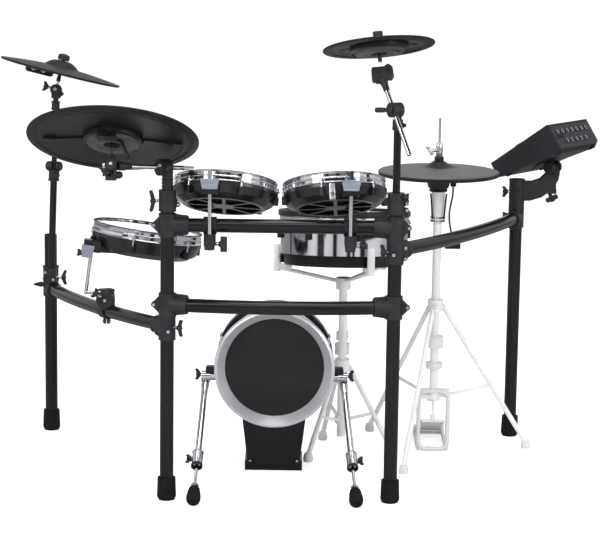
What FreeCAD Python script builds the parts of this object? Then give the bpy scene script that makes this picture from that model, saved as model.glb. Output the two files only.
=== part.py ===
import FreeCAD, Part
import math
import os
import re
import Sketcher

# An electronic drum kit on a tubular rack. Lengths are millimetres and angles degrees.
# Origin: centre of the kick stand's underside, on the floor. +X is to the right as seen
# by the audience, +Y points to the drummer and +Z is up.

doc = FreeCAD.newDocument("DrumKit")

# Driving sizes, one named value each, in the order in which the kit is put together.
SIZES = {
    # Fits shared by the whole kit
    "fit_gap": 0.3,
    "seat_gap": 0.6,
    # Rack pipes, clamps and rubber feet
    "pipe_d": 38.1,
    "pipe_wall": 2.0,
    "clamp_wall": 4.4,
    "rack_width": 620.0,
    "rack_centre_x": 17.0,
    "front_y": -372.0,
    "wing_spread": 404.0,
    "wing_depth": 773.0,
    "post_top_z": 860.0,
    "upper_bar_z": 770.0,
    "lower_bar_z": 550.0,
    "lower_bar_bow": 32.0,
    "tee_height": 64.0,
    "tee_reach": 58.0,
    "bar_inset": 24.0,
    "collar_height": 58.0,
    "collar_lid": 6.0,
    "foot_d": 53.5,
    "foot_top_d": 50.0,
    "foot_height": 63.0,
    "foot_floor": 12.0,
    "foot_skirt": 9.0,
    # Side wings: one curved arm and one rear leg each
    "arm_bow": 34.0,
    "arm_socket": 52.0,
    "left_arm_z": 490.0,
    "left_arm_drop": 42.0,
    "right_arm_z": 708.0,
    "right_arm_drop": 21.0,
    "arm_tee_height": 66.0,
    "left_leg_top_z": 615.0,
    "right_leg_top_z": 796.0,
    "left_rear_tee_rise": 25.0,
    "left_rear_tee_drop": 24.0,
    "right_rear_tee_rise": 25.0,
    "right_rear_tee_drop": 30.0,
    # First crash cymbal, on a tube clamped to the rear left leg
    "crash_1_tube_d": 20.6,
    "crash_1_upper_d": 16.0,
    "crash_1_setout": 41.0,
    "crash_1_shift": 5.0,
    "crash_1_lean": 1.8,
    "crash_1_clamp_height": 44.0,
    "crash_1_clamp_width": 33.0,
    "crash_1_clamp_depth": 33.0,
    "crash_1_foot_gap": 3.0,
    "crash_1_collar_z": 787.0,
    "crash_1_collar_d": 31.0,
    "crash_1_collar_height": 34.0,
    "crash_1_neck_z": 1003.0,
    "crash_1_neck_d": 24.0,
    "crash_1_neck_height": 26.0,
    "crash_1_pivot_z": 1064.0,
    "crash_1_roll": 13.6,
    "crash_1_tilt": 4.5,
    "crash_1_stem": 58.0,
    "crash_1_d": 367.0,
    # Ride cymbal, on a boom through a clamp on the front left post
    "ride_neck_d": 30.0,
    "ride_neck_height": 30.0,
    "ride_clamp_shift": -10.0,
    "ride_clamp_z": 927.0,
    "ride_clamp_d": 46.0,
    "ride_clamp_width": 34.0,
    "boom_d": 12.7,
    "ride_boom_yaw": 34.0,
    "ride_boom_fall": 5.0,
    "ride_boom_reach": 164.0,
    "ride_boom_tail": 92.0,
    "ride_tilt": 28.0,
    "ride_roll": 1.7,
    "ride_stem": 80.0,
    "ride_d": 462.0,
    # Second crash cymbal, on a boom on top of the front right post
    "crash_2_tube_d": 20.6,
    "crash_2_tube_foot_z": 740.0,
    "crash_2_clamp_z": 1092.0,
    "crash_2_offset": 14.3,
    "crash_2_clamp_d": 40.0,
    "crash_2_clamp_width": 22.0,
    "crash_2_boom_yaw": 122.0,
    "crash_2_boom_rise": 55.0,
    "crash_2_boom_reach": 110.0,
    "crash_2_boom_tail": 138.0,
    "crash_2_tilt": 14.5,
    "crash_2_bell_height": 11.0,
    "crash_2_roll": 5.5,
    "crash_2_stem": 78.0,
    "crash_2_d": 306.0,
    # Tilters and cymbal pads
    "knuckle_d": 26.0,
    "knuckle_width": 15.0,
    "cheek_wall": 6.0,
    "stem_d": 8.0,
    "felt_d": 14.0,
    "felt_height": 16.0,
    "cap_nut_d": 27.0,
    "cap_nut_height": 15.0,
    "pad_thickness": 9.0,
    "pad_hole_d": 12.0,
    "cymbal_gap": 0.8,
    "bow_height": 12.0,
    "bell_d": 104.0,
    "bell_height": 20.0,
    "pod_depth": 15.0,
    "pod_d": 156.0,
    "pod_bore": 46.0,
    "pod_box_width": 82.0,
    "pod_box_depth": 66.0,
    # Tom pads
    "rod_d": 10.5,
    "tom_1_rod_x": 194.0,
    "tom_2_rod_x": 187.0,
    "tom_rod_setout": 36.0,
    "tom_clamp_width": 36.0,
    "tom_clamp_drop": 60.0,
    "tom_rod_foot": 34.0,
    "tom_clamp_lip": 4.0,
    "tom_rod_length": 172.0,
    "tom_1_inset": 39.0,
    "tom_2_inset": 44.0,
    "tom_pad_setback": 146.0,
    "tom_rod_proud": 9.3,
    "tom_tilt": 20.0,
    "tom_roll": 3.7,
    "tom_d": 289.0,
    "tom_depth": 72.0,
    "tom_3_d": 320.0,
    "tom_3_depth": 81.0,
    "tom_3_arm_share": 0.60,
    "tom_3_rod_shift": -60.0,
    "tom_3_rod_rise": 52.0,
    "tom_3_rod_length": 144.0,
    "tom_3_inset": 172.0,
    "tom_3_setback": 95.0,
    "tom_3_lift": 178.0,
    "tom_3_neck": 78.0,
    "tom_3_tilt": 4.0,
    "tom_3_roll": 7.8,
    "hoop_wall": 2.5,
    "hoop_flange": 5.0,
    "hoop_height": 30.0,
    "head_recess": 9.0,
    "head_thickness": 1.2,
    "frame_wall": 5.0,
    "frame_rib": 9.0,
    "frame_hub_d": 60.0,
    "holder_width": 48.0,
    "holder_depth": 26.0,
    "holder_height": 34.0,
    # Kick drum
    "kick_front_y": -103.0,
    "kick_axis_z": 311.0,
    "kick_ring_overhang": 11.0,
    "kick_ring_depth": 47.0,
    "kick_ring_lip": 5.0,
    "kick_panel_inset": 20.0,
    "kick_panel_thickness": 5.0,
    "kick_panel_recess": 28.0,
    "kick_shell_d": 326.0,
    "kick_shell_wall": 6.0,
    "kick_shell_depth": 124.0,
    "kick_hoop_wall": 7.5,
    "kick_hoop_depth": 40.0,
    "kick_base_width": 167.0,
    "kick_base_depth": 110.0,
    "kick_base_height": 30.0,
    "kick_plate_top": 190.0,
    "kick_plate_foot": 150.0,
    "kick_plate_wall": 5.0,
    "kick_plate_depth": 92.0,
    "spur_x": 199.0,
    "spur_pivot_back": 63.0,
    "spur_pivot_drop": 36.0,
    "spur_slope": 122.8,
    "spur_splay": 2.4,
    "spur_splay_right": 4.8,
    "spur_bracket_d": 34.0,
    "spur_eye_width": 26.0,
    "spur_tube_d": 18.0,
    "spur_tube_length": 300.0,
    "spur_clamp_d": 30.0,
    "spur_clamp_length": 46.0,
    "spur_rod_d": 9.5,
    "spur_length": 485.6,
    "spur_foot_d": 38.0,
    "spur_foot_length": 54.0,
    # Snare drum and its stand
    "snare_x": 200.0,
    "snare_y": 168.0,
    "snare_top_z": 734.0,
    "snare_tilt": 6.5,
    "snare_hoop_overhang": 5.0,
    "snare_shell_d": 378.0,
    "snare_wall": 3.0,
    "snare_shell_depth": 117.0,
    "snare_band_inset": 11.0,
    "snare_band_height": 34.0,
    "snare_floor": 6.0,
    "snare_lip": 4.0,
    "snare_hoop_height": 40.0,
    "snare_hub_z": 500.0,
    "snare_hub_d": 44.0,
    "snare_hub_height": 34.0,
    "snare_spigot": 20.0,
    "snare_arm_d": 12.0,
    "snare_tip_height": 76.0,
    "snare_tip_d": 22.0,
    "stand_tube_d": 25.4,
    "stand_wall": 2.0,
    "snare_leg_z": 250.0,
    "snare_leg_r": 153.0,
    "leg_d": 15.0,
    "leg_foot_d": 30.0,
    "leg_foot_height": 26.0,
    "leg_hub_d": 46.0,
    "leg_hub_height": 36.0,
    # Hi-hat
    "hihat_x": 478.0,
    "hihat_y": 203.0,
    "hihat_z": 854.0,
    "hihat_d": 360.0,
    "hihat_rim": 14.0,
    "hihat_bow": 12.0,
    "hihat_bell_d": 96.0,
    "hihat_bell_height": 18.0,
    "hihat_travel": 14.0,
    "hihat_rod_d": 6.4,
    "hihat_rod_top_z": 1010.0,
    "hihat_tube_top_z": 700.0,
    "hihat_cup_d": 40.0,
    "hihat_cup_top_z": 792.0,
    "hihat_sensor_d": 52.0,
    "hihat_sensor_height": 14.0,
    "hihat_leg_z": 430.0,
    "hihat_leg_r": 290.0,
    "hihat_jack_x": 44.0,
    "hihat_jack_d": 18.0,
    "hihat_jack_drop": 32.0,
    "lead_d": 5.5,
    "plug_width": 46.0,
    "plug_depth": 16.0,
    "plug_height": 22.0,
    "pedal_width": 70.0,
    "pedal_heel": 200.0,
    "pedal_frame_width": 96.0,
    "pedal_frame_height": 190.0,
    "pedal_toe_z": 94.0,
    "pedal_heel_z": 22.0,
    "board_thickness": 9.0,
    # Sound module
    "mount_arm": 107.0,
    "mount_arm_z": 770.0,
    "mount_arm_width": 26.0,
    "mount_arm_thickness": 14.0,
    "mount_sleeve_top": 806.0,
    "mount_pivot_rise": 74.0,
    "module_swing": -127.0,
    "module_tilt": 34.5,
    "module_width": 238.0,
    "module_length": 233.0,
    "module_rear": 90.0,
    "module_front": 50.0,
    "module_belly": 92.0,
    "module_wall": 3.0,
    "panel_thickness": 4.0,
    "dial_d": 44.0,
    "dial_height": 9.0,
    "knob_d": 22.0,
    "knob_height": 14.0,
    "button_size": 14.0,
    "button_height": 6.0,
    "button_travel": 1.5,
    "control_gap": 0.4,
}
sheet = doc.addObject("Spreadsheet::Sheet", "Sizes")
for row, (name, value) in enumerate(SIZES.items(), start=1):
    sheet.set(f"A{row}", name)
    sheet.set(f"B{row}", str(value))
    sheet.setAlias(f"B{row}", name)
doc.recompute()


def words(formula):
    """A formula with each size's name pointed at its cell."""
    def cell(word):
        return f"Sizes.{word[0]}" if word[0] in SIZES else word[0]

    return re.sub(r"[A-Za-z_][A-Za-z_0-9]*", cell, str(formula))


def number(formula):
    """The value of a formula as it stands in the sheet."""
    return float(sheet.evalExpression(words(formula)))


def at(x="0", y="0", z="0", yaw="0", pitch="0", roll="0"):
    """A frame: moved by x, y, z, then turned about Z, Y and X."""
    return f"placement(vector({x}; {y}; {z}); rotation({yaw}; {pitch}; {roll}))"


def put(piece, *frames):
    """Places a piece in a chain of frames, outermost first."""
    if frames:
        piece.setExpression("Placement", words(" * ".join(frames)))
    return piece


def bind(piece, **formulas):
    for prop, formula in formulas.items():
        piece.setExpression(prop, words(formula))
    return piece


def rod(name, diameter, length, *frames):
    """A round bar from its frame's origin along the frame's Z."""
    piece = doc.addObject("Part::Cylinder", name)
    bind(piece, Radius=f"({diameter}) / 2", Height=length)
    return put(piece, *frames)


def block(name, dx, dy, dz, *frames):
    """A box that stands on its frame's origin, centred in X and Y."""
    piece = doc.addObject("Part::Box", name)
    bind(piece, Length=dx, Width=dy, Height=dz)
    return put(piece, *frames, at(f"-({dx}) / 2", f"-({dy}) / 2"))


def bend(name, diameter, radius, angle, *frames):
    """A round bar along an arc about its frame's Z, from the frame's X."""
    piece = doc.addObject("Part::Torus", name)
    bind(piece, Radius1=radius, Radius2=f"({diameter}) / 2", Angle3=angle)
    return put(piece, *frames)


def fuse(name, pieces, *frames):
    joined = doc.addObject("Part::MultiFuse", name)
    joined.Shapes = pieces
    return put(joined, *frames)


def cut(name, base, tools, *frames):
    """The base piece less all the tools."""
    result = doc.addObject("Part::Cut", name)
    result.Base = base
    result.Tool = tools[0] if len(tools) == 1 else fuse(f"{name}_tools", tools)
    return put(result, *frames)


def group(name, pieces):
    """Separate solids that share one node."""
    result = doc.addObject("Part::Compound", name)
    result.Links = pieces
    return result


def pipe(name, diameter, wall, length, *frames):
    outer = rod(f"{name}_outside", diameter, length, *frames)
    inner = rod(f"{name}_inside", f"({diameter}) - 2 * ({wall})", length, *frames)
    return cut(name, outer, [inner])


def outline(body, name, plane, points):
    """A closed sketch through points whose coordinates are formulas."""
    sketch = body.newObject("Sketcher::SketchObject", name)
    origin = [f for f in body.Origin.OriginFeatures if f.Role == plane]
    sketch.AttachmentSupport = [(origin[0], "")]
    sketch.MapMode = "FlatFace"
    spots = [FreeCAD.Vector(number(u), number(v), 0) for u, v in points]
    count = len(points)
    for i in range(count):
        sketch.addGeometry(Part.LineSegment(spots[i], spots[(i + 1) % count]), False)
    for i in range(count):
        sketch.addConstraint(Sketcher.Constraint("Coincident", i, 2, (i + 1) % count, 1))
    for i, (u, v) in enumerate(points):
        across = sketch.addConstraint(Sketcher.Constraint("DistanceX", -1, 1, i, 1, spots[i].x))
        sketch.setExpression(f"Constraints[{across}]", words(u))
        upward = sketch.addConstraint(Sketcher.Constraint("DistanceY", -1, 1, i, 1, spots[i].y))
        sketch.setExpression(f"Constraints[{upward}]", words(v))
    return sketch


def turned(name, points, *frames):
    """A body turned about its frame's Z from (radius, height) points."""
    body = doc.addObject("PartDesign::Body", name)
    sketch = outline(body, f"{name}_profile", "XZ_Plane", points)
    feature = body.newObject("PartDesign::Revolution", f"{name}_turn")
    feature.Profile = sketch
    feature.ReferenceAxis = (sketch, ["V_Axis"])
    feature.Angle = 360
    return put(body, *frames)


def slab(name, points, thickness, *frames):
    """A body padded along its frame's Z from (x, y) points."""
    body = doc.addObject("PartDesign::Body", name)
    sketch = outline(body, f"{name}_profile", "XY_Plane", points)
    feature = body.newObject("PartDesign::Pad", f"{name}_pad")
    feature.Profile = sketch
    bind(feature, Length=thickness)
    return put(body, *frames)


# Shared fits of the rack: every clamp bores to the pipe plus one clearance.
bore_d = "(pipe_d + 2 * fit_gap)"
sleeve_d = "(pipe_d + 2 * fit_gap + 2 * clamp_wall)"
left_x = "(rack_centre_x - rack_width / 2)"
right_x = "(rack_centre_x + rack_width / 2)"
rear_y = "(front_y + wing_depth)"
rear_left_x = "(rack_centre_x - rack_width / 2 - wing_spread)"
rear_right_x = "(rack_centre_x + rack_width / 2 + wing_spread)"


def foot(name, *frames):
    """A rubber boot with a socket for a pipe end."""
    points = [
        ("0", "0"),
        ("foot_d / 2 - foot_skirt / 2", "0"),
        ("foot_d / 2", "foot_skirt"),
        ("foot_top_d / 2", "foot_height"),
        ("pipe_d / 2 + fit_gap", "foot_height"),
        ("pipe_d / 2 + fit_gap", "foot_floor"),
        ("0", "foot_floor"),
    ]
    return turned(name, points, *frames)


def arc(chord, bow):
    """Radius and half angle of the arc over a chord that bows by a given amount."""
    radius = f"((({chord}) / 2)^2 + ({bow})^2) / (2 * ({bow}))"
    half = f"(asin(({chord}) / 2 / ({radius})) / 1 deg)"
    return f"({radius})", half


def arc_frames(start, radius, half):
    """Frames that lay an arc from its start, along the start frame's X."""
    return [*start, at(yaw=f"-90 - {half}"), at(x=f"-{radius}")]


def curved_pipe(name, start, chord, bow):
    """A bent pipe between two post axes, short of each by the inset."""
    radius, half = arc(chord, bow)
    trim = f"(bar_inset / {radius} * 180 / pi)"
    frames = [*arc_frames(start, radius, half), at(yaw=trim)]
    sweep = f"2 * {half} - 2 * {trim}"
    outer = bend(f"{name}_outside", "pipe_d", radius, sweep, *frames)
    inner = bend(f"{name}_inside", "pipe_d - 2 * pipe_wall", radius, sweep, *frames)
    return cut(name, outer, [inner])


def curved_bore(name, start, chord, bow):
    """The room that a bent pipe takes inside the sockets at its ends."""
    radius, half = arc(chord, bow)
    trim = f"((bar_inset - seat_gap) / {radius} * 180 / pi)"
    frames = [*arc_frames(start, radius, half), at(yaw=trim)]
    return bend(name, bore_d, radius, f"2 * {half} - 2 * {trim}", *frames)


def tee(name, post, low, high, socket, reach, side_bore):
    """A clamp: a sleeve round a post from low to high, and one side socket."""
    sleeve = rod(f"{name}_sleeve", sleeve_d, f"({high}) - ({low})", *post, at(z=low))
    arm = rod(f"{name}_socket", sleeve_d, reach, *socket, at(pitch="90"))
    body = fuse(f"{name}_body", [sleeve, arm])
    through = f"({high}) - ({low}) + 4 * ({sleeve_d})"
    post_bore = rod(f"{name}_bore", bore_d, through, *post, at(z=f"({low}) - 2 * ({sleeve_d})"))
    return cut(name, body, [post_bore, side_bore])


# Front posts and their rubber feet
posts = []
feet = []
for side, post_x in (("left", left_x), ("right", right_x)):
    stand = at(post_x, "front_y")
    height = "post_top_z - foot_floor"
    posts.append(pipe(f"{side}_post", "pipe_d", "pipe_wall", height, stand, at(z="foot_floor")))
    feet.append(foot(f"{side}_front_foot", stand))
front_posts = group("front_posts", posts)
front_feet = group("front_feet", feet)

# Two cross bars: the upper one straight, the lower one bowed to the audience
bar_start = at(left_x, "front_y", "lower_bar_z")
lower_bar = curved_pipe("lower_bar", [bar_start], "rack_width", "lower_bar_bow")
upper_frame = at(f"{left_x} + bar_inset", "front_y", "upper_bar_z", pitch="90")
upper_bar = pipe("upper_bar", "pipe_d", "pipe_wall", "rack_width - 2 * bar_inset", upper_frame)
cross_bars = group("cross_bars", [upper_bar, lower_bar])

# Four tee clamps join the bars to the posts, and a collar caps the right post
bar_radius, bar_half = arc("rack_width", "lower_bar_bow")
clamps = []
for side, post_x, turn, way in (("left", left_x, "0", "-"), ("right", right_x, "180", "")):
    post = [at(post_x, "front_y")]
    upper_bore = rod(
        f"upper_{side}_bar_bore", bore_d, "tee_reach",
        *post, at(z="upper_bar_z", yaw=turn), at(x="bar_inset - seat_gap", pitch="90"),
    )
    upper_socket = [*post, at(z="upper_bar_z", yaw=turn)]
    low = "upper_bar_z - tee_height / 2"
    high = "upper_bar_z + tee_height / 2"
    clamps.append(tee(f"upper_{side}_tee", post, low, high, upper_socket, "tee_reach", upper_bore))
    lower_socket = [*post, at(z="lower_bar_z", yaw=f"{turn} {way or '+'} {bar_half}")]
    lower_bore = curved_bore(f"lower_{side}_bar_bore", [bar_start], "rack_width", "lower_bar_bow")
    low = "lower_bar_z - tee_height / 2"
    high = "lower_bar_z + tee_height / 2"
    clamps.append(tee(f"lower_{side}_tee", post, low, high, lower_socket, "tee_reach", lower_bore))
collar_low = "(post_top_z + collar_lid - collar_height)"
collar = rod("right_collar_body", sleeve_d, "collar_height", at(right_x, "front_y", collar_low))
collar_post = rod(
    "right_collar_bore", bore_d, "collar_height - collar_lid",
    at(right_x, "front_y", collar_low),
)
collar_tube = rod(
    "right_collar_eye", "crash_2_tube_d + 2 * fit_gap", "collar_height",
    at(right_x, "front_y", collar_low), at(z="collar_lid"),
)
clamps.append(cut("right_collar", collar, [collar_post, collar_tube]))
rack_clamps = group("rack_clamps", clamps)

# Side arms: from the rear leg forward on the left, from the front post back on the right.
# Each lies in a plane that slopes down to the rear by its drop.
run = "sqrt(wing_spread^2 + wing_depth^2)"
heading = "(atan(wing_depth / wing_spread) / 1 deg)"
left_chord = f"sqrt(({run})^2 + left_arm_drop^2)"
right_chord = f"sqrt(({run})^2 + right_arm_drop^2)"
left_slope = f"(atan(left_arm_drop / ({run})) / 1 deg)"
right_slope = f"(atan(right_arm_drop / ({run})) / 1 deg)"
left_rear_z = "(left_arm_z - left_arm_drop)"
right_rear_z = "(right_arm_z - right_arm_drop)"
left_start = [at(rear_left_x, rear_y, left_rear_z, yaw=f"-{heading}", pitch=f"-{left_slope}")]
right_start = [at(right_x, "front_y", "right_arm_z", yaw=heading, pitch=right_slope)]
left_side_arm = curved_pipe("left_side_arm", left_start, left_chord, "arm_bow")
right_side_arm = curved_pipe("right_side_arm", right_start, right_chord, "arm_bow")

left_radius, left_half = arc(left_chord, "arm_bow")
right_radius, right_half = arc(right_chord, "arm_bow")
front_left = [at(left_x, "front_y")]
front_right = [at(right_x, "front_y")]
rear_left = [at(rear_left_x, rear_y)]
rear_right = [at(rear_right_x, rear_y)]
left_end = [*left_start, at(x=left_chord)]
right_end = [*right_start, at(x=right_chord)]
left_front_high = "(lower_bar_z - tee_height / 2 - fit_gap)"
right_front_high = "(upper_bar_z - tee_height / 2 - fit_gap)"
left_front_tee = tee(
    "left_front_tee", front_left, f"{left_front_high} - arm_tee_height", left_front_high,
    [*left_end, at(yaw=f"180 + {left_half}")], "arm_socket",
    curved_bore("left_front_arm_bore", left_start, left_chord, "arm_bow"),
)
left_rear_tee = tee(
    "left_rear_tee", rear_left,
    f"{left_rear_z} - left_rear_tee_drop", f"{left_rear_z} + left_rear_tee_rise",
    [*left_start, at(yaw=f"-{left_half}")], "arm_socket",
    curved_bore("left_rear_arm_bore", left_start, left_chord, "arm_bow"),
)
right_front_tee = tee(
    "right_front_tee", front_right, f"{right_front_high} - arm_tee_height", right_front_high,
    [*right_start, at(yaw=f"-{right_half}")], "arm_socket",
    curved_bore("right_front_arm_bore", right_start, right_chord, "arm_bow"),
)
right_rear_tee = tee(
    "right_rear_tee", rear_right,
    f"{right_rear_z} - right_rear_tee_drop", f"{right_rear_z} + right_rear_tee_rise",
    [*right_end, at(yaw=f"180 + {right_half}")], "arm_socket",
    curved_bore("right_rear_arm_bore", right_start, right_chord, "arm_bow"),
)
right_arm_clamps = group("right_arm_clamps", [right_front_tee, right_rear_tee])

# Rear legs, each with its rubber foot
for side, stand, top in (("left", rear_left, "left_leg_top_z"), ("right", rear_right, "right_leg_top_z")):
    leg = pipe(
        f"rear_{side}_leg_pipe", "pipe_d", "pipe_wall", f"{top} - foot_floor",
        *stand, at(z="foot_floor"),
    )
    group(f"rear_{side}_leg", [leg, foot(f"rear_{side}_foot", *stand)])

# Clamp for the first crash cymbal's tube, on the rear left leg just above the arm
crash_1_clamp_z = f"({left_rear_z} + left_rear_tee_rise + seat_gap)"
crash_1_spot = at(f"{rear_left_x} + crash_1_shift", f"{rear_y} - crash_1_setout", crash_1_clamp_z)
crash_1_base = [crash_1_spot, at(pitch="crash_1_lean")]
crash_1_band = rod(
    "crash_1_band", sleeve_d, "crash_1_clamp_height", *rear_left, at(z=crash_1_clamp_z),
)
crash_1_block = block(
    "crash_1_block", "crash_1_clamp_width", "crash_1_clamp_depth", "crash_1_clamp_height",
    crash_1_spot,
)
crash_1_bridge = block(
    "crash_1_bridge", "crash_1_clamp_width * 0.8", "crash_1_setout", "crash_1_clamp_height * 0.9",
    at(f"{rear_left_x} + crash_1_shift / 2", f"{rear_y} - crash_1_setout / 2", crash_1_clamp_z),
    at(z="crash_1_clamp_height * 0.05"),
)
crash_1_clamp = cut(
    "crash_1_clamp",
    fuse("crash_1_clamp_body", [crash_1_band, crash_1_block, crash_1_bridge]),
    [
        rod(
            "crash_1_leg_bore", bore_d, "crash_1_clamp_height * 2",
            *rear_left, at(z=f"{crash_1_clamp_z} - crash_1_clamp_height / 2"),
        ),
        rod(
            "crash_1_tube_bore", "crash_1_tube_d + 2 * fit_gap", "crash_1_clamp_height * 2",
            *crash_1_base, at(z="-crash_1_clamp_height / 2"),
        ),
    ],
)

# Clamp for the third tom's rod, round the left arm: a band with a block on top
share = f"2 * {left_half} * tom_3_arm_share"
arm_spot = [*arc_frames(left_start, left_radius, left_half), at(yaw=share), at(x=left_radius)]
tom_3_band = rod(
    "tom_3_band", sleeve_d, "tom_clamp_width", *arm_spot, at(roll="-90"), at(z="-tom_clamp_width / 2"),
)
tom_3_block = block(
    "tom_3_block", "tom_clamp_width", "tom_clamp_width", "tom_3_rod_rise + rod_d", *arm_spot,
)
left_arm_room = curved_bore("tom_3_arm_bore", left_start, left_chord, "arm_bow")
level = [at(yaw=f"-({share}) + 90 + {left_half}"), at(pitch=left_slope), at(yaw=heading)]
rod_corner = [*arm_spot, *level, at(x="tom_3_rod_shift", z="tom_3_rod_rise")]
tom_3_rod_bore = rod(
    "tom_3_rod_bore", "rod_d + 2 * fit_gap", "-tom_3_rod_shift * 4", *rod_corner, at(pitch="90"),
)
tom_3_clamp = cut(
    "tom_3_clamp", fuse("tom_3_clamp_body", [tom_3_band, tom_3_block]), [left_arm_room, tom_3_rod_bore],
)
left_arm_clamps = group("left_arm_clamps", [left_front_tee, left_rear_tee, crash_1_clamp, tom_3_clamp])


# Tilters: a fork with two cheeks carries a knuckle, and the knuckle a stem.
def fork(name, along, *frames):
    """Two cheeks about a pivot, joined below it. Along is the turn of the pivot's axis about Z."""
    reach = "knuckle_d * 0.95"
    gap = "(knuckle_width + 2 * fit_gap)"
    outside = f"({gap} + 2 * cheek_wall)"
    aim = at(yaw=along)
    height = f"{reach} + knuckle_d * 0.4"
    yoke = block(f"{name}_yoke", outside, "knuckle_d", height, *frames, aim, at(z=f"-{reach}"))
    room = at(z="-knuckle_d / 2 - fit_gap")
    slot = block(f"{name}_slot", gap, "knuckle_d * 2", "knuckle_d * 2", *frames, aim, room)
    return cut(name, yoke, [slot])


def knuckle(name, along, stem, rise, pivot, frames):
    """The upper half of a tilter: knuckle at the pivot, stem, felt seat and cap nut at the cymbal."""
    eye = rod(
        f"{name}_eye", "knuckle_d - 2 * fit_gap", "knuckle_width",
        *pivot, at(yaw=along), at(x="-knuckle_width / 2", pitch="90"),
    )
    seat_z = f"({rise} - pad_thickness - cymbal_gap)"
    post = rod(f"{name}_stem", "stem_d", f"{stem} + {rise} + cap_nut_height", *frames, at(z=f"-({stem})"))
    felt = rod(f"{name}_felt", "felt_d", "felt_height", *frames, at(z=f"{seat_z} - felt_height"))
    nut = rod(f"{name}_nut", "cap_nut_d", "cap_nut_height", *frames, at(z=f"{rise} + 2 * cymbal_gap"))
    return fuse(name, [eye, post, felt, nut])


def cymbal(name, diameter, bell, pod, *frames):
    """A cymbal pad with bow and bell, rim plane at the frame's origin, fused to its trigger pod."""
    edge = f"({diameter} / 2)"
    top = f"(bow_height + {bell})"
    upper = [
        ("pad_hole_d / 2", top),
        ("bell_d * 0.22", f"{top} - {bell} * 0.12"),
        ("bell_d * 0.40", f"{top} - {bell} * 0.55"),
        ("bell_d / 2", "bow_height"),
        (f"bell_d / 4 + {edge} / 2", "bow_height * 0.62"),
        (edge, "0"),
    ]
    lower = [(r, f"{z} - pad_thickness") for r, z in reversed(upper)]
    return fuse(name, [turned(f"{name}_pad", upper + lower, *frames), pod])


def round_pod(name, *frames):
    """A round trigger housing below the bell, open round the stem."""
    points = [
        ("pod_bore / 2", "-pod_depth"),
        ("pod_d / 2 - pod_depth / 3", "-pod_depth"),
        ("pod_d / 2", "-pod_depth * 0.6"),
        ("pod_d / 2", "pad_thickness * 0.4"),
        ("pod_bore / 2", "pad_thickness * 0.4"),
    ]
    return turned(name, points, *frames)


cymbal_rise = "(bow_height + bell_height)"

# First crash: telescopic tube with a fork on top, tilter and pad
crash_1_axis = [*crash_1_base, at(z=f"-{crash_1_clamp_z}")]
crash_1_head = [*crash_1_axis, at(z="crash_1_pivot_z"), at(pitch="-crash_1_lean")]
crash_1_frame = [*crash_1_head, at(pitch="crash_1_roll", roll="-crash_1_tilt"), at(z="crash_1_stem")]
fuse(
    "crash_1_tube",
    [
        rod(
            "crash_1_lower", "crash_1_tube_d",
            f"crash_1_collar_z - {crash_1_clamp_z} - crash_1_foot_gap",
            *crash_1_base, at(z="crash_1_foot_gap"),
        ),
        rod(
            "crash_1_collar", "crash_1_collar_d", "crash_1_collar_height",
            *crash_1_axis, at(z="crash_1_collar_z"),
        ),
        rod(
            "crash_1_upper", "crash_1_upper_d", "crash_1_pivot_z - crash_1_collar_z - knuckle_d * 0.8",
            *crash_1_axis, at(z="crash_1_collar_z"),
        ),
        rod("crash_1_neck", "crash_1_neck_d", "crash_1_neck_height", *crash_1_axis, at(z="crash_1_neck_z")),
        fork("crash_1_fork", "90", *crash_1_head),
    ],
)
knuckle("crash_1_tilter", "90", "crash_1_stem", cymbal_rise, crash_1_head, crash_1_frame)
crash_1_pod = block(
    "crash_1_pod", "pod_box_width", "pod_box_depth", "pod_depth + pad_thickness",
    *crash_1_frame, at(x="-(pod_box_width + felt_d + cap_nut_d) / 2", z="-pod_depth"),
)
cymbal("crash_1_cymbal", "crash_1_d", "bell_height", crash_1_pod, *crash_1_frame)

# Ride: a clamp on the front left post, a boom through it, tilter and pad
ride_head = [at(f"{left_x} + ride_clamp_shift", "front_y", "ride_clamp_z")]
ride_aim = at(yaw="ride_boom_yaw", pitch="ride_boom_fall")
ride_tip = [
    *ride_head, ride_aim, at(x="-ride_boom_reach"),
    at(pitch="-ride_boom_fall"), at(yaw="-ride_boom_yaw"),
]
ride_frame = [*ride_tip, at(pitch="ride_roll", roll="-ride_tilt"), at(z="ride_stem")]
ride_sleeve = rod("ride_sleeve", sleeve_d, "collar_height", at(left_x, "front_y", collar_low))
ride_neck = rod(
    "ride_neck", "ride_neck_d", "ride_clamp_z - post_top_z - collar_lid + ride_clamp_d / 4",
    at(left_x, "front_y", "post_top_z + collar_lid / 2"),
)
ride_grip = rod(
    "ride_grip", "ride_clamp_d", "ride_clamp_width",
    *ride_head, ride_aim, at(x="-ride_clamp_width / 2", pitch="90"),
)
cut(
    "ride_boom_clamp",
    fuse("ride_clamp_body", [ride_sleeve, ride_neck, ride_grip]),
    [
        rod(
            "ride_post_bore", bore_d, "collar_height - collar_lid + fit_gap",
            at(left_x, "front_y", collar_low),
        ),
        rod(
            "ride_boom_bore", "boom_d + 2 * fit_gap", "ride_clamp_d * 3",
            *ride_head, ride_aim, at(x="-ride_clamp_d * 1.5", pitch="90"),
        ),
    ],
)
ride_bar = rod(
    "ride_bar", "boom_d", "ride_boom_reach + ride_boom_tail - knuckle_d * 0.7",
    *ride_head, ride_aim, at(x="-ride_boom_reach + knuckle_d * 0.7", pitch="90"),
)
ride_block = block(
    "ride_block", "knuckle_d * 0.96", "knuckle_d * 0.96", "knuckle_d * 0.9",
    *ride_tip, at(z="-knuckle_d * 1.5"),
)
ride_bridge = block(
    "ride_bridge", "knuckle_d * 1.5", "knuckle_d", "knuckle_d * 1.3",
    *ride_head, ride_aim, at(x="-ride_boom_reach + knuckle_d * 1.5", z="-knuckle_d * 1.1"),
)
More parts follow.
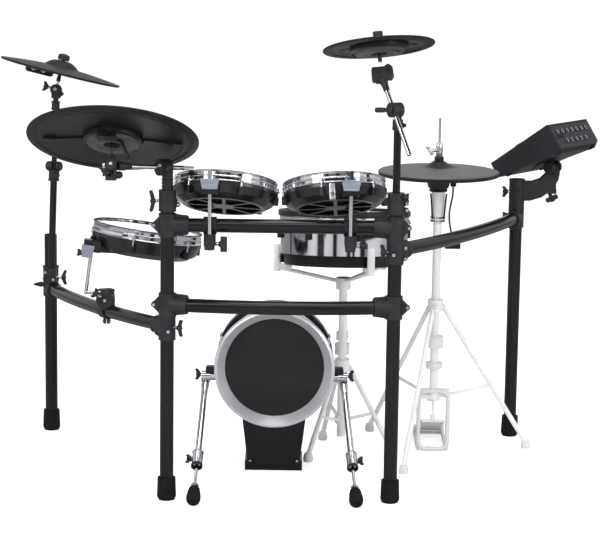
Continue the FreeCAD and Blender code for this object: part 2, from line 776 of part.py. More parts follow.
ride_foot = block(
    "ride_foot", "knuckle_d * 1.6", "knuckle_d * 0.9", "knuckle_d * 0.5",
    *ride_head, ride_aim, at(x="-ride_boom_reach + knuckle_d * 0.7", z="-knuckle_d * 1.1"),
)
fuse("ride_boom", [ride_bar, ride_block, ride_bridge, ride_foot, fork("ride_fork", "0", *ride_tip)])
knuckle("ride_tilter", "0", "ride_stem", cymbal_rise, ride_tip, ride_frame)
cymbal("ride_cymbal", "ride_d", "bell_height", round_pod("ride_pod", *ride_frame), *ride_frame)

# Second crash: tube in the right post, boom hinged on its top, tilter and pad
crash_2_head = [at(right_x, "front_y", "crash_2_clamp_z", yaw="crash_2_boom_yaw"), at(y="crash_2_offset")]
crash_2_aim = at(pitch="-crash_2_boom_rise")
crash_2_tip = [
    *crash_2_head, crash_2_aim, at(x="crash_2_boom_reach"),
    at(pitch="crash_2_boom_rise"), at(yaw="-crash_2_boom_yaw"),
]
crash_2_frame = [*crash_2_tip, at(pitch="-crash_2_roll", roll="-crash_2_tilt"), at(z="crash_2_stem")]
crash_2_mast = rod(
    "crash_2_mast", "crash_2_tube_d", "crash_2_clamp_z - crash_2_tube_foot_z",
    at(right_x, "front_y", "crash_2_tube_foot_z"),
)
mast_face = "(-crash_2_clamp_width / 2 - fit_gap)"
crash_2_plate = rod(
    "crash_2_plate", "crash_2_clamp_d", "crash_2_clamp_width / 2",
    *crash_2_head, at(y=f"{mast_face} - crash_2_clamp_width / 2", roll="-90"),
)
crash_2_room = rod(
    "crash_2_room", "crash_2_clamp_d * 1.6", "crash_2_clamp_width * 2",
    *crash_2_head, at(y=mast_face, roll="-90"),
)
crash_2_mast_body = fuse("crash_2_mast_body", [crash_2_mast, crash_2_plate])
cut("crash_2_tube", crash_2_mast_body, [crash_2_room])
crash_2_grip = rod(
    "crash_2_grip", "crash_2_clamp_d", "crash_2_clamp_width",
    *crash_2_head, at(y="-crash_2_clamp_width / 2", roll="-90"),
)
crash_2_bar = rod(
    "crash_2_bar", "boom_d", "crash_2_boom_reach + crash_2_boom_tail",
    *crash_2_head, crash_2_aim, at(x="-crash_2_boom_tail", pitch="90"),
)
crash_2_slot = block(
    "crash_2_slot", "knuckle_width + 2 * fit_gap", "knuckle_d * 2", "knuckle_d * 2",
    *crash_2_tip, at(z="-knuckle_d / 2 - fit_gap"),
)
crash_2_arm = cut("crash_2_arm", fuse("crash_2_arm_body", [crash_2_grip, crash_2_bar]), [crash_2_slot])
fuse("crash_2_boom", [crash_2_arm, fork("crash_2_fork", "0", *crash_2_tip)])
knuckle(
    "crash_2_tilter", "0", "crash_2_stem", "(bow_height + crash_2_bell_height)", crash_2_tip, crash_2_frame,
)
cymbal(
    "crash_2_cymbal", "crash_2_d", "crash_2_bell_height",
    round_pod("crash_2_pod", *crash_2_frame), *crash_2_frame,
)


# Tom pads: a chrome hoop over a mesh head on a black dish with ribs, held at its side by a rod.
def tom_pad(name, diameter, depth, frames, rod_top, ribs, neck=()):
    edge = f"({diameter} / 2)"
    shell = f"({edge} - hoop_flange - hoop_wall - fit_gap)"
    seat = "(-head_recess - head_thickness)"
    hoop = [
        (f"{edge} - hoop_flange - hoop_wall", "-hoop_height"),
        (edge, "-hoop_height"),
        (edge, "-hoop_height + hoop_wall"),
        (f"{edge} - hoop_flange", "-hoop_height + hoop_wall"),
        (f"{edge} - hoop_flange", "-hoop_wall"),
        (edge, "-hoop_wall"),
        (edge, "0"),
        (f"{edge} - hoop_flange - hoop_wall", "0"),
    ]
    turned(f"{name}_hoop", hoop, *frames)
    rod(f"{name}_head", f"2 * {shell}", "head_thickness", *frames, at(z=seat))
    low = f"-({depth})"
    dish = [
        (f"{shell} - frame_wall", seat),
        (shell, seat),
        (shell, "-hoop_height - fit_gap"),
        (edge, "-hoop_height - fit_gap"),
        (edge, "-hoop_height - frame_rib"),
        (f"{edge} * 0.93", f"{low} * 0.82"),
        (f"{edge} * 0.78", low),
        (f"{edge} * 0.70", low),
        (f"{edge} * 0.70", f"{low} + frame_wall"),
        (f"{edge} * 0.75", f"{low} + frame_wall"),
        (f"{shell} - frame_wall", f"{low} * 0.75"),
    ]
    pieces = [turned(f"{name}_dish", dish, *frames), *neck]
    pieces.append(rod(f"{name}_hub", "frame_hub_d", "frame_rib", *frames, at(z=low)))
    for i in range(ribs):
        pieces.append(
            block(
                f"{name}_rib_{i}", f"{edge} * 0.72", "frame_rib", "frame_rib",
                *frames, at(z=low, yaw=f"{i} * 360 / {ribs}"), at(x=f"{edge} * 0.36"),
            )
        )
    pieces.append(block(f"{name}_holder", "holder_width", "holder_depth", "holder_height", *rod_top))
    body = fuse(f"{name}_frame_body", pieces)
    depth_in = "holder_height * 0.7 + seat_gap + 20"
    room = rod(f"{name}_rod_room", "rod_d + 2 * fit_gap", depth_in, *rod_top, at(z="-20"))
    above = [*frames, at(z="-hoop_height - fit_gap / 2")]
    clear = rod(f"{name}_hoop_room", f"2 * ({edge} + 2 * fit_gap)", "hoop_height * 2", *above)
    inner = rod(f"{name}_bearing", f"2 * {shell}", "hoop_height * 2", *above)
    ring_room = cut(f"{name}_ring_room", clear, [inner])
    cut(f"{name}_frame", body, [room, ring_room])


tom_clamp_solids = []
for label, side_x, pad_x, pad_roll in (
    ("tom_1", "rack_centre_x - tom_1_rod_x", "rack_centre_x - tom_1_rod_x + tom_1_inset", "tom_roll"),
    ("tom_2", "rack_centre_x + tom_2_rod_x", "rack_centre_x + tom_2_rod_x - tom_2_inset", "-tom_roll"),
):
    rod_foot = [at(side_x, "front_y - tom_rod_setout", "upper_bar_z - tom_clamp_drop")]
    band = rod(
        f"{label}_band", sleeve_d, "tom_clamp_width",
        at(f"{side_x} - tom_clamp_width / 2", "front_y", "upper_bar_z", pitch="90"),
    )
    step = block(
        f"{label}_step", "tom_clamp_width", "tom_rod_setout + rod_d * 1.8", "tom_rod_foot + tom_clamp_lip",
        *rod_foot, at(y="(tom_rod_setout - rod_d * 1.8) / 2 + rod_d * 0.4"),
    )
    clamp_body = fuse(f"{label}_clamp_body", [band, step])
    bar_room = rod(
        f"{label}_bar_room", bore_d, "tom_clamp_width * 2",
        at(f"{side_x} - tom_clamp_width", "front_y", "upper_bar_z", pitch="90"),
    )
    rod_room = rod(
        f"{label}_rod_socket", "rod_d + 2 * fit_gap", "tom_rod_foot * 2 + tom_clamp_lip * 2",
        *rod_foot, at(z="-tom_clamp_lip"),
    )
    tom_clamp_solids.append(cut(f"{label}_clamp", clamp_body, [bar_room, rod_room]))
    rod(f"{label}_rod", "rod_d", "tom_rod_length", *rod_foot, at(z="tom_clamp_lip + fit_gap"))
    pad_y = "front_y - tom_rod_setout + tom_pad_setback"
    rod_low = "(upper_bar_z - tom_clamp_drop + tom_clamp_lip + fit_gap)"
    pad_z = f"{rod_low} + tom_rod_length - tom_rod_proud"
    pad_frame = [at(pad_x, pad_y, pad_z, pitch=pad_roll, roll="-tom_tilt")]
    top = [*rod_foot, at(z="tom_clamp_lip + tom_rod_length - holder_height * 0.7")]
    tom_pad(label, "tom_d", "tom_depth", pad_frame, top, 8)
tom_clamps = group("tom_clamps", tom_clamp_solids)

# Third tom, level and low over the left wing, on a bent rod
tom_3_upright = [*rod_corner, at(pitch="tom_3_roll")]
fuse(
    "tom_3_rod",
    [
        rod("tom_3_upright", "rod_d", "tom_3_rod_length", *tom_3_upright),
        rod("tom_3_across", "rod_d", "-tom_3_rod_shift + tom_clamp_width / 2", *rod_corner, at(pitch="90")),
        put(bind(doc.addObject("Part::Sphere", "tom_3_elbow"), Radius="rod_d * 0.56"), *rod_corner),
    ],
)
tom_3_top = [*tom_3_upright, at(z="tom_3_rod_length - holder_height * 0.7")]
tom_3_frame_place = [
    *rod_corner, at(x="tom_3_inset", y="tom_3_setback", z="tom_3_lift"),
    at(pitch="tom_3_roll", roll="-tom_3_tilt"),
]
tom_3_neck = block(
    "tom_3_neck", "tom_3_neck", "holder_depth", "holder_height * 0.8",
    *tom_3_top, at(yaw="atan(tom_3_setback / tom_3_inset)"), at(x="tom_3_neck / 2"),
)
tom_pad("tom_3", "tom_3_d", "tom_3_depth", tom_3_frame_place, tom_3_top, 8, [tom_3_neck])

# Kick drum: local Z points to the audience, from the front ring's face
kick = [at("0", "kick_front_y", "kick_axis_z", roll="90")]
ring_edge = "(kick_shell_d / 2 + kick_ring_overhang)"
panel_edge = "(kick_shell_d / 2 - kick_panel_inset)"
turned(
    "kick_front_ring",
    [
        (f"{panel_edge} + fit_gap", "-kick_ring_depth"),
        ("kick_shell_d / 2 + kick_ring_lip", "-kick_ring_depth"),
        ("kick_shell_d / 2 + kick_ring_lip", "-kick_ring_depth * 0.8"),
        (ring_edge, "-kick_ring_depth * 0.22"),
        (f"{ring_edge} - kick_ring_lip * 0.6", "-kick_ring_lip * 0.5"),
        (f"{ring_edge} - kick_ring_lip * 1.7", "0"),
        (f"{panel_edge} + fit_gap", "-kick_panel_recess"),
    ],
    *kick,
)
rod(
    "kick_front_panel", f"2 * {panel_edge}", "kick_panel_thickness",
    *kick, at(z="-kick_panel_recess - kick_panel_thickness"),
)
shell_back = "(kick_ring_depth + kick_shell_depth)"
kick_barrel = pipe(
    "kick_barrel", "kick_shell_d", "kick_shell_wall", "kick_shell_depth", *kick, at(z=f"-{shell_back}"),
)
rod("kick_head", "kick_shell_d", "head_thickness", *kick, at(z=f"-{shell_back} - head_thickness"))
hoop_bore = "(kick_shell_d / 2 + fit_gap)"
hoop_back = f"({shell_back} + head_thickness)"
turned(
    "kick_rear_hoop",
    [
        (hoop_bore, f"-{hoop_back}"),
        (f"{hoop_bore} - kick_shell_wall", f"-{hoop_back}"),
        (f"{hoop_bore} - kick_shell_wall", f"-{hoop_back} - kick_hoop_wall"),
        (f"{hoop_bore} + kick_hoop_wall", f"-{hoop_back} - kick_hoop_wall"),
        (f"{hoop_bore} + kick_hoop_wall", f"-{hoop_back} - kick_hoop_wall + kick_hoop_depth"),
        (hoop_bore, f"-{hoop_back} - kick_hoop_wall + kick_hoop_depth"),
    ],
    *kick,
)

# Kick stand: a floor plate and a channel that tapers down from the shell
plate_back = "(kick_front_y + kick_ring_depth + fit_gap)"
channel_top = "(kick_axis_z - kick_shell_d / 2 + kick_base_height)"


def channel(name, inset, depth, start):
    """A trapezoid block under the shell, narrower at the floor plate."""
    points = [
        (f"-kick_plate_foot / 2 + {inset}", "kick_base_height / 2"),
        (f"kick_plate_foot / 2 - {inset}", "kick_base_height / 2"),
        (f"kick_plate_top / 2 - {inset}", channel_top),
        (f"-kick_plate_top / 2 + {inset}", channel_top),
    ]
    return slab(name, points, depth, at(y=start, roll="90"), at(z=f"-({depth})"))


kick_base = block("kick_base_plate", "kick_base_width", "kick_base_depth", "kick_base_height")
kick_channel = channel("kick_channel", "0", "kick_plate_depth", plate_back)
channel_room = slab(
    "kick_channel_room",
    [
        ("-kick_plate_foot / 2 + kick_plate_wall", "kick_base_height"),
        ("kick_plate_foot / 2 - kick_plate_wall", "kick_base_height"),
        ("kick_plate_top / 2 - kick_plate_wall", f"{channel_top} + 2"),
        ("-kick_plate_top / 2 + kick_plate_wall", f"{channel_top} + 2"),
    ],
    "kick_plate_depth",
    at(y=f"{plate_back} + kick_plate_wall", roll="90"), at(z="-kick_plate_depth"),
)
shell_room = rod(
    "kick_shell_room", "kick_shell_d + 2 * fit_gap", "kick_base_depth * 3",
    at(y="-kick_base_depth", z="kick_axis_z", roll="-90"),
)
hoop_room = rod(
    "kick_hoop_room", f"2 * ({hoop_bore} + kick_hoop_wall + fit_gap)", "kick_hoop_depth * 2",
    *kick, at(z=f"-{hoop_back} - kick_hoop_wall - kick_hoop_depth - fit_gap"),
)
kick_uprights = cut("kick_uprights", kick_channel, [channel_room, shell_room])
cut("kick_stand", fuse("kick_stand_body", [kick_base, kick_uprights]), [hoop_room])

# Kick spurs: a bracket, a chrome tube, a clamp, a thin rod and a rubber tip, on one hinge
for side, way, spur_yaw in (("left", "-", "-spur_splay"), ("right", "", "spur_splay_right")):
    hinge = [at(f"{way}spur_x", "kick_front_y + spur_pivot_back", "kick_axis_z - spur_pivot_drop")]
    pivot = [*hinge, at(yaw=spur_yaw, roll="spur_slope")]
    eye = rod(
        f"{side}_spur_eye", "spur_bracket_d", "spur_eye_width",
        *hinge, at(x="-spur_eye_width / 2", pitch="90"),
    )
    tube = rod(f"{side}_spur_tube", "spur_tube_d", "spur_tube_length", *pivot)
    grip = rod(f"{side}_spur_clamp", "spur_clamp_d", "spur_clamp_length", *pivot, at(z="spur_tube_length"))
    thin = rod(
        f"{side}_spur_rod", "spur_rod_d", "spur_length - spur_tube_length - spur_foot_length / 2",
        *pivot, at(z="spur_tube_length"),
    )
    tip = turned(
        f"{side}_spur_tip",
        [
            ("0", "0"),
            ("spur_foot_d * 0.32", "0"),
            ("spur_foot_d * 0.5", "spur_foot_length * 0.7"),
            ("spur_foot_d * 0.36", "spur_foot_length"),
            ("0", "spur_foot_length"),
        ],
        *pivot, at(z="spur_length - spur_foot_length"),
    )
    fuse(f"kick_spur_{side}", [eye, tube, grip, thin, tip])

# Spur bosses on the shell, fused to it: each ends just short of its spur's eye
bosses = []
for side, way in (("left", "-"), ("right", "")):
    turn = "-90" if way else "90"
    reach = "spur_x - spur_eye_width / 2 - fit_gap"
    bosses.append(
        rod(
            f"{side}_spur_boss", "spur_bracket_d * 0.7",
            f"{reach} - kick_shell_d / 2 + kick_shell_wall * 2.5",
            at(f"{way}({reach})", "kick_front_y + spur_pivot_back", "kick_axis_z - spur_pivot_drop"),
            at(pitch=f"0 - ({turn})"),
        )
    )
inside_room = rod(
    "kick_inside_room", "kick_shell_d - kick_shell_wall", "kick_shell_depth * 2",
    *kick, at(z=f"-{shell_back} - kick_shell_depth / 2"),
)
spur_bosses = cut("spur_bosses", fuse("spur_boss_pair", bosses), [inside_room])
fuse("kick_shell", [kick_barrel, spur_bosses])

# Snare drum: chrome shell on a black base, hoop and head. Drum and basket lean to the drummer about the hub.
lean_z = "(snare_hub_z + snare_hub_height / 2)"
lean = at("snare_x", "snare_y", lean_z, roll="-snare_tilt")
snare = [lean, at(z=f"snare_top_z - {lean_z}")]
snare_r = "(snare_shell_d / 2)"
snare_edge = f"({snare_r} + snare_hoop_overhang)"
band_r = f"({snare_r} - snare_band_inset)"
snare_seat = "(-head_recess - head_thickness)"
shell_low = f"({snare_seat} - snare_shell_depth)"
pipe("snare_shell", "snare_shell_d", "snare_wall", "snare_shell_depth", *snare, at(z=shell_low))
rod("snare_head", "snare_shell_d", "head_thickness", *snare, at(z=snare_seat))
turned(
    "snare_hoop",
    [
        (f"{snare_r} + fit_gap", "-snare_hoop_height"),
        (snare_edge, "-snare_hoop_height"),
        (snare_edge, "-snare_hoop_height + hoop_wall"),
        (f"{snare_r} + fit_gap + hoop_wall", "-snare_hoop_height + hoop_wall"),
        (f"{snare_r} + fit_gap + hoop_wall", "-hoop_wall"),
        (f"{snare_r} + hoop_wall + hoop_flange", "-hoop_wall"),
        (f"{snare_r} + hoop_wall + hoop_flange", "0"),
        (f"{snare_r} - hoop_flange", "0"),
        (f"{snare_r} - hoop_flange", "-head_recess"),
        (f"{snare_r} + fit_gap", "-head_recess"),
    ],
    *snare,
)
turned(
    "snare_base",
    [
        ("0", f"{shell_low} - snare_band_height + snare_floor"),
        ("0", f"{shell_low} - snare_band_height"),
        (f"{band_r} - snare_floor / 2", f"{shell_low} - snare_band_height"),
        (band_r, f"{shell_low} - snare_band_height + snare_floor / 2"),
        (band_r, f"{shell_low} - snare_lip"),
        (snare_r, f"{shell_low} - snare_lip"),
        (snare_r, shell_low),
        (f"{band_r} - snare_floor * 2", shell_low),
        (f"{band_r} - snare_floor * 2", f"{shell_low} - snare_band_height + snare_floor"),
    ],
    *snare,
)


def between(name, diameter, start, end, *frames):
    """A round bar from one point to another, both given as formulas."""
    dx = f"(({end[0]}) - ({start[0]}))"
    dz = f"(({end[1]}) - ({start[1]}))"
    span = f"sqrt({dx}^2 + {dz}^2)"
    lean = f"(acos({dz} / {span}) / 1 deg)"
    return rod(name, diameter, span, *frames, at(x=start[0], z=start[1], pitch=lean), at(yaw="50"))


# Snare basket: an upright hub with three leaning arms whose rubber tips grip the drum from outside
snare_low = f"(snare_top_z + {shell_low} - snare_band_height)"
basket = at("snare_x", "snare_y")
cradle = [lean, at(z=f"-{lean_z}")]
tip_r = f"({snare_r} + snare_tip_d / 2 + fit_gap)"
snare_hub = cut(
    "snare_hub",
    rod("snare_hub_body", "snare_hub_d", "snare_hub_height", basket, at(z="snare_hub_z")),
    [
        rod(
            "snare_hub_bore", "stand_tube_d + 2 * fit_gap", "snare_spigot + seat_gap + 10",
            basket, at(z="snare_hub_z - 10"),
        )
    ],
)
basket_pieces = [snare_hub]
for i, turn in enumerate((172, 292, 52)):
    spoke = at(yaw=str(turn))
    arm_low = "snare_hub_z + snare_hub_height * 0.7"
    tip_low = f"{snare_low} - snare_arm_d"
    basket_pieces.append(
        between(
            f"basket_arm_{i}", "snare_arm_d",
            ("snare_hub_d * 0.4", arm_low), (tip_r, tip_low), *cradle, spoke,
        ),
    )
    basket_pieces.append(
        rod(
            f"basket_tip_{i}", "snare_tip_d", "snare_tip_height",
            *cradle, spoke, at(x=tip_r, z=f"{tip_low} - snare_tip_d / 2"),
        ),
    )
    basket_pieces.append(
        block(
            f"basket_shelf_{i}", "snare_tip_d * 2", "snare_tip_d * 0.7", "snare_arm_d",
            *cradle, spoke, at(x=f"{tip_r} - snare_tip_d", z=f"{snare_low} - snare_arm_d - fit_gap"),
        )
    )
fuse("snare_basket", basket_pieces)


def tripod(name, turns, hub_z, reach, column, *frames):
    """Three legs from a column's hub to rubber feet on the floor, each with a stretcher."""
    low = f"({hub_z} * 0.36)"
    between_legs = str(turns[0] + 180)
    hub = rod(f"{name}_hub", "leg_hub_d", "leg_hub_height", *frames, at(z=hub_z, yaw=between_legs))
    slider = rod(
        f"{name}_slider", "leg_hub_d * 0.85", "leg_hub_height * 0.7",
        *frames, at(z=low, yaw=between_legs),
    )
    stand = fuse(f"{name}_column", [column, hub, slider])
    for i, turn in enumerate(turns):
        spoke = at(yaw=str(turn))
        top = ("leg_hub_d * 0.48", f"{hub_z} + leg_hub_height * 0.45")
        toe = (reach, "leg_foot_height * 0.7")
        leg = between(f"{name}_leg_{i}", "leg_d", top, toe, *frames, spoke)
        inner = ("leg_hub_d * 0.36", f"{low} + leg_hub_height * 0.33")
        knee = (f"{reach} * 0.58", f"({hub_z} + leg_hub_height / 2) * 0.42 + leg_foot_height * 0.4")
        stretcher = between(f"{name}_stretcher_{i}", "leg_d * 0.7", inner, knee, *frames, spoke)
        rubber = turned(
            f"{name}_foot_{i}",
            [
                ("0", "0"),
                ("leg_foot_d * 0.42", "0"),
                ("leg_foot_d * 0.5", "leg_foot_height * 0.35"),
                ("leg_foot_d * 0.36", "leg_foot_height"),
                ("0", "leg_foot_height"),
            ],
            *frames, spoke, at(x=reach),
        )
        side = fuse(f"{name}_side_{i}", [leg, stretcher, rubber])
        stand = fuse(f"{name}_stand_{i}", [stand, side])
    return stand


# Snare stand: tripod and centre tube up to the basket's hub
snare_column = rod(
    "snare_column", "stand_tube_d", "snare_hub_z + snare_spigot - snare_leg_z * 0.2",
    basket, at(z="snare_leg_z * 0.2", yaw="50"),
)
snare_tripod = tripod("snare_tripod", (230, 350, 110), "snare_leg_z", "snare_leg_r", snare_column, basket)
snare_tripod.Label = "snare_stand"

# Hi-hat stand: tripod, tube with a cup on top and the fixed sensor ring round the pull rod
hihat = at("hihat_x", "hihat_y")
rod_room = "(hihat_rod_d + 4 * fit_gap)"
hihat_column = rod(
    "hihat_column", "stand_tube_d", "hihat_tube_top_z - pedal_frame_height + leg_d",
    hihat, at(z="pedal_frame_height - leg_d"),
)
hihat_cup = rod(
    "hihat_cup", "hihat_cup_d", "hihat_cup_top_z - hihat_tube_top_z", hihat, at(z="hihat_tube_top_z"),
)
hihat_sensor = rod("hihat_sensor", "hihat_sensor_d", "hihat_sensor_height", hihat, at(z="hihat_cup_top_z"))
hihat_tripod = tripod("hihat_tripod", (8, 250, 129), "hihat_leg_z", "hihat_leg_r", hihat_column, hihat)
pedal_bridge = block(
    "pedal_bridge", "pedal_frame_width", "leg_d * 1.6", "leg_d * 1.6",
    hihat, at(z="pedal_frame_height - leg_d * 1.6"),
)
frame_sides = []
pin_d = "(leg_d * 0.7)"
heel = [hihat, at(y="pedal_heel", z="pedal_heel_z")]
for side, way in (("left", "-"), ("right", "")):
    ear = block(
        f"pedal_ear_{side}", "leg_d * 0.6", "leg_d * 1.5", "pedal_heel_z + leg_d * 0.4",
        hihat, at(x=f"{way}(pedal_frame_width / 2 - leg_d * 0.3)", y="pedal_heel"),
    )
    frame_sides.append(ear)
    frame_sides.append(
        block(
            f"pedal_frame_{side}", "leg_d * 0.6", "leg_d * 1.6", "pedal_frame_height",
            hihat, at(x=f"{way}(pedal_frame_width / 2 - leg_d * 0.3)"),
        )
    )
    frame_sides.append(
        block(
            f"pedal_rail_{side}", "leg_d * 0.6", "pedal_heel + leg_d", "leg_d * 0.6",
            hihat, at(x=f"{way}(pedal_frame_width / 2 - leg_d * 0.3)", y="(pedal_heel + leg_d) / 2"),
        )
    )
heel_plate = block(
    "pedal_heel_plate", "pedal_frame_width", "leg_d * 2", "leg_d * 0.6",
    hihat, at(y="pedal_heel + leg_d"),
)
pedal_frame = fuse("pedal_frame", [pedal_bridge, heel_plate, *frame_sides])
hihat_upper = fuse("hihat_upper", [hihat_cup, hihat_sensor])
stand_pieces = [hihat_tripod, hihat_upper, pedal_frame]
rod_channel = rod("hihat_rod_channel", rod_room, "hihat_rod_top_z", hihat)
pin_channel = rod(
    "pedal_pin_channel", f"{pin_d} + 2 * fit_gap", "pedal_frame_width * 2",
    *heel, at(x="-pedal_frame_width", z="-board_thickness / 2", pitch="90"),
)
cut("hihat_stand", fuse("hihat_stand_body", stand_pieces), [rod_channel, pin_channel])

# Pedal board, hinged at the heel, its toe under the pull rod
board_rise = "(pedal_toe_z - pedal_heel_z)"
board_lean = f"(atan({board_rise} / pedal_heel) / 1 deg)"
slope = at(roll=f"-{board_lean}")
board_length = f"((pedal_heel + leg_d * 1.6) / cos({board_lean} * 1 deg))"
board = block(
    "pedal_board", "pedal_width", board_length, "board_thickness",
    *heel, slope, at(y=f"leg_d * 0.3 - {board_length} / 2", z="-board_thickness"),
)
heel_pin = rod(
    "pedal_pin", pin_d, "pedal_frame_width - 2 * seat_gap",
    *heel, at(x="-pedal_frame_width / 2 + seat_gap", z="-board_thickness / 2", pitch="90"),
)
fuse("hihat_pedal", [board, heel_pin])

# Pull rod with the clutch nuts that hold the cymbal above and below its bell
hihat_top = "(hihat_z + hihat_bow + hihat_bell_height)"
hihat_under = f"({hihat_top} - pad_thickness)"
fuse(
    "hihat_rod",
    [
        rod(
            "hihat_pull", "hihat_rod_d", "hihat_rod_top_z - pedal_toe_z - leg_d * 0.5",
            hihat, at(z="pedal_toe_z + leg_d * 0.5"),
        ),
        rod(
            "hihat_pull_foot", "leg_d", "leg_d",
            *heel, slope, at(y=f"-pedal_heel / cos({board_lean} * 1 deg)", z="2 * seat_gap"),
        ),
        rod("hihat_upper_nut", "cap_nut_d", "cap_nut_height * 0.6", hihat, at(z=f"{hihat_top} + fit_gap")),
        rod("hihat_clutch", "cap_nut_d * 0.62", "cap_nut_height * 3.2", hihat, at(z=f"{hihat_top} + 2")),
        rod(
            "hihat_lower_nut", "cap_nut_d * 0.9", "cap_nut_height * 0.5",
            hihat, at(z=f"{hihat_under} - fit_gap - cap_nut_height * 0.5"),
        ),
    ],
)
hat_edge = "(hihat_d / 2)"
hat_upper = [
    ("hihat_rod_d / 2 + fit_gap", "hihat_bow + hihat_bell_height"),
    ("cap_nut_d * 0.55", "hihat_bow + hihat_bell_height"),
    ("hihat_bell_d * 0.36", "hihat_bow + hihat_bell_height * 0.4"),
    ("hihat_bell_d / 2", "hihat_bow"),
    (f"hihat_bell_d / 4 + {hat_edge} / 2", "hihat_bow * 0.66"),
    (hat_edge, "0"),
]
hat_lower = [(r, f"{z} - pad_thickness") for r, z in reversed(hat_upper[:-1])]
hat_rim = [(hat_edge, "-hihat_rim"), (f"{hat_edge} - hihat_rim * 2", "-hihat_rim")]
hat_pad = turned("hihat_pad", hat_upper + hat_rim + hat_lower, hihat, at(z="hihat_z"))
jack_low = "(hihat_z - hihat_rim - hihat_jack_drop)"
hat_jack = rod(
    "hihat_jack", "hihat_jack_d", f"hihat_z + hihat_bow - {jack_low}",
    hihat, at(x="hihat_jack_x", z=jack_low),
)
fuse("hihat_cymbal", [hat_pad, hat_jack])

# Hi-hat lead: hangs from the jack, bows a little and ends in a right-angle connector.
# Points are offsets from the hi-hat's axis in X and Y, and drops below the jack.
LEAD_POINTS = [
    (0.0, 0.0, 0.0),
    (0.0, 0.0, 28.0),
    (-6.0, 2.0, 54.0),
    (-10.0, 5.0, 84.0),
    (-8.0, 4.0, 114.0),
    (-2.0, 1.0, 140.0),
    (-2.0, 1.0, 166.0),
]
lead_start = FreeCAD.Vector(number("hihat_x + hihat_jack_x"), number("hihat_y"), number(jack_low))
route = [lead_start + FreeCAD.Vector(x, y, -drop) for x, y, drop in LEAD_POINTS]


def rounded_path(points):
    """Straight runs with tangent arcs as large as the runs allow, and the arcs' radii."""
    edges = []
    radii = []
    start = points[0]
    for before, corner, after in zip(points, points[1:], points[2:]):
        into = (before - corner).normalize()
        out = (after - corner).normalize()
        half_turn = (math.pi - into.getAngle(out)) / 2
        tangent = 0.45 * min((before - corner).Length, (after - corner).Length)
        radius = tangent / math.tan(half_turn)
        first = corner + into * tangent
        last = corner + out * tangent
        middle_way = (into + out).normalize()
        middle = corner + middle_way * (radius / math.cos(half_turn) - radius)
        edges.append(Part.LineSegment(start, first).toShape())
        edges.append(Part.Arc(first, middle, last).toShape())
        radii.append(round(radius, 1))
        start = last
    edges.append(Part.LineSegment(start, points[-1]).toShape())
    return Part.Wire(edges), radii


lead_path, lead_radii = rounded_path(route)
lead_circle = Part.Circle(route[0], (route[1] - route[0]), number("lead_d / 2"))
lead_shape = lead_path.makePipeShell([Part.Wire(lead_circle.toShape())], True, False)
lead = doc.addObject("Part::Feature", "hihat_lead")
lead.Shape = lead_shape
lead_ideal = math.pi * number("lead_d / 2") ** 2 * lead_path.Length
print("lead length", round(lead_path.Length, 1), "radii", lead_radii)
print("lead volume share", round(lead_shape.Volume / lead_ideal, 4))
plug_spot = route[-1]
plug_offset = LEAD_POINTS[-1]
plug_place = at(
    f"hihat_x + hihat_jack_x + ({plug_offset[0]})", f"hihat_y + ({plug_offset[1]})",
    f"{jack_low} - {plug_offset[2]}",
)
fuse(
    "hihat_lead_plug",
    [
        rod("plug_neck", "lead_d * 2", "plug_height * 0.4", plug_place, at(z="-plug_height * 0.4")),
        block(
            "plug_body", "plug_width", "plug_depth", "plug_height * 0.7",
            plug_place, at(x="plug_width * 0.1", z="-plug_height"),
        ),
    ],
)

# Module mount: a sleeve on the rear right leg, a flat arm and a fork for the module's hinge
mount_low = f"({right_rear_z} + right_rear_tee_rise + fit_gap)"
mount_sleeve = rod("mount_sleeve", sleeve_d, f"mount_sleeve_top - {mount_low}", *rear_right, at(z=mount_low))
mount_bar = block(
    "mount_bar", "mount_arm + mount_arm_width / 2", "mount_arm_width", "mount_arm_thickness",
    *rear_right, at(x="mount_arm / 2 + mount_arm_width / 4", z="mount_arm_z - mount_arm_thickness / 2"),
)
mount_head = [*rear_right, at(x="mount_arm", z="mount_arm_z + mount_pivot_rise", yaw="module_swing")]
mount_neck = rod(
    "mount_neck", "mount_arm_width", "mount_pivot_rise - knuckle_d * 0.5",
    *rear_right, at(x="mount_arm", z="mount_arm_z"),
)
mount_bore = rod("mount_bore", bore_d, "right_leg_top_z + seat_gap", *rear_right)
mount_body = cut("mount_body", fuse("mount_arm_body", [mount_sleeve, mount_bar, mount_neck]), [mount_bore])
fuse("module_mount", [mount_body, fork("mount_fork", "0", *mount_head)])

# Sound module: wedge case hinged under its middle, front panel, dial, knob and button.
# Its local X runs to the audience's side, Y to the rear jacks and Z out of the panel.
module = [*mount_head, at(roll="module_tilt"), at(z="module_belly")]
half_length = "(module_length / 2)"


def wedge(name, inset, width, *frames):
    """The module's side outline, drawn in Y and Z and padded along X."""
    points = [
        (f"-{half_length} + {inset}", f"-panel_thickness"),
        (f"-{half_length} + {inset}", f"-module_front + {inset}"),
        ("0", f"-(module_front + module_rear) / 2 + {inset}"),
        (f"{half_length} * 0.82", f"-module_rear + {inset}"),
        (f"{half_length} - {inset}", f"-module_rear * 0.84 + {inset}"),
        (f"{half_length} - {inset}", f"-panel_thickness"),
    ]
    return slab(name, points, width, *frames, at(x=f"-({width}) / 2", yaw="90", roll="90"))


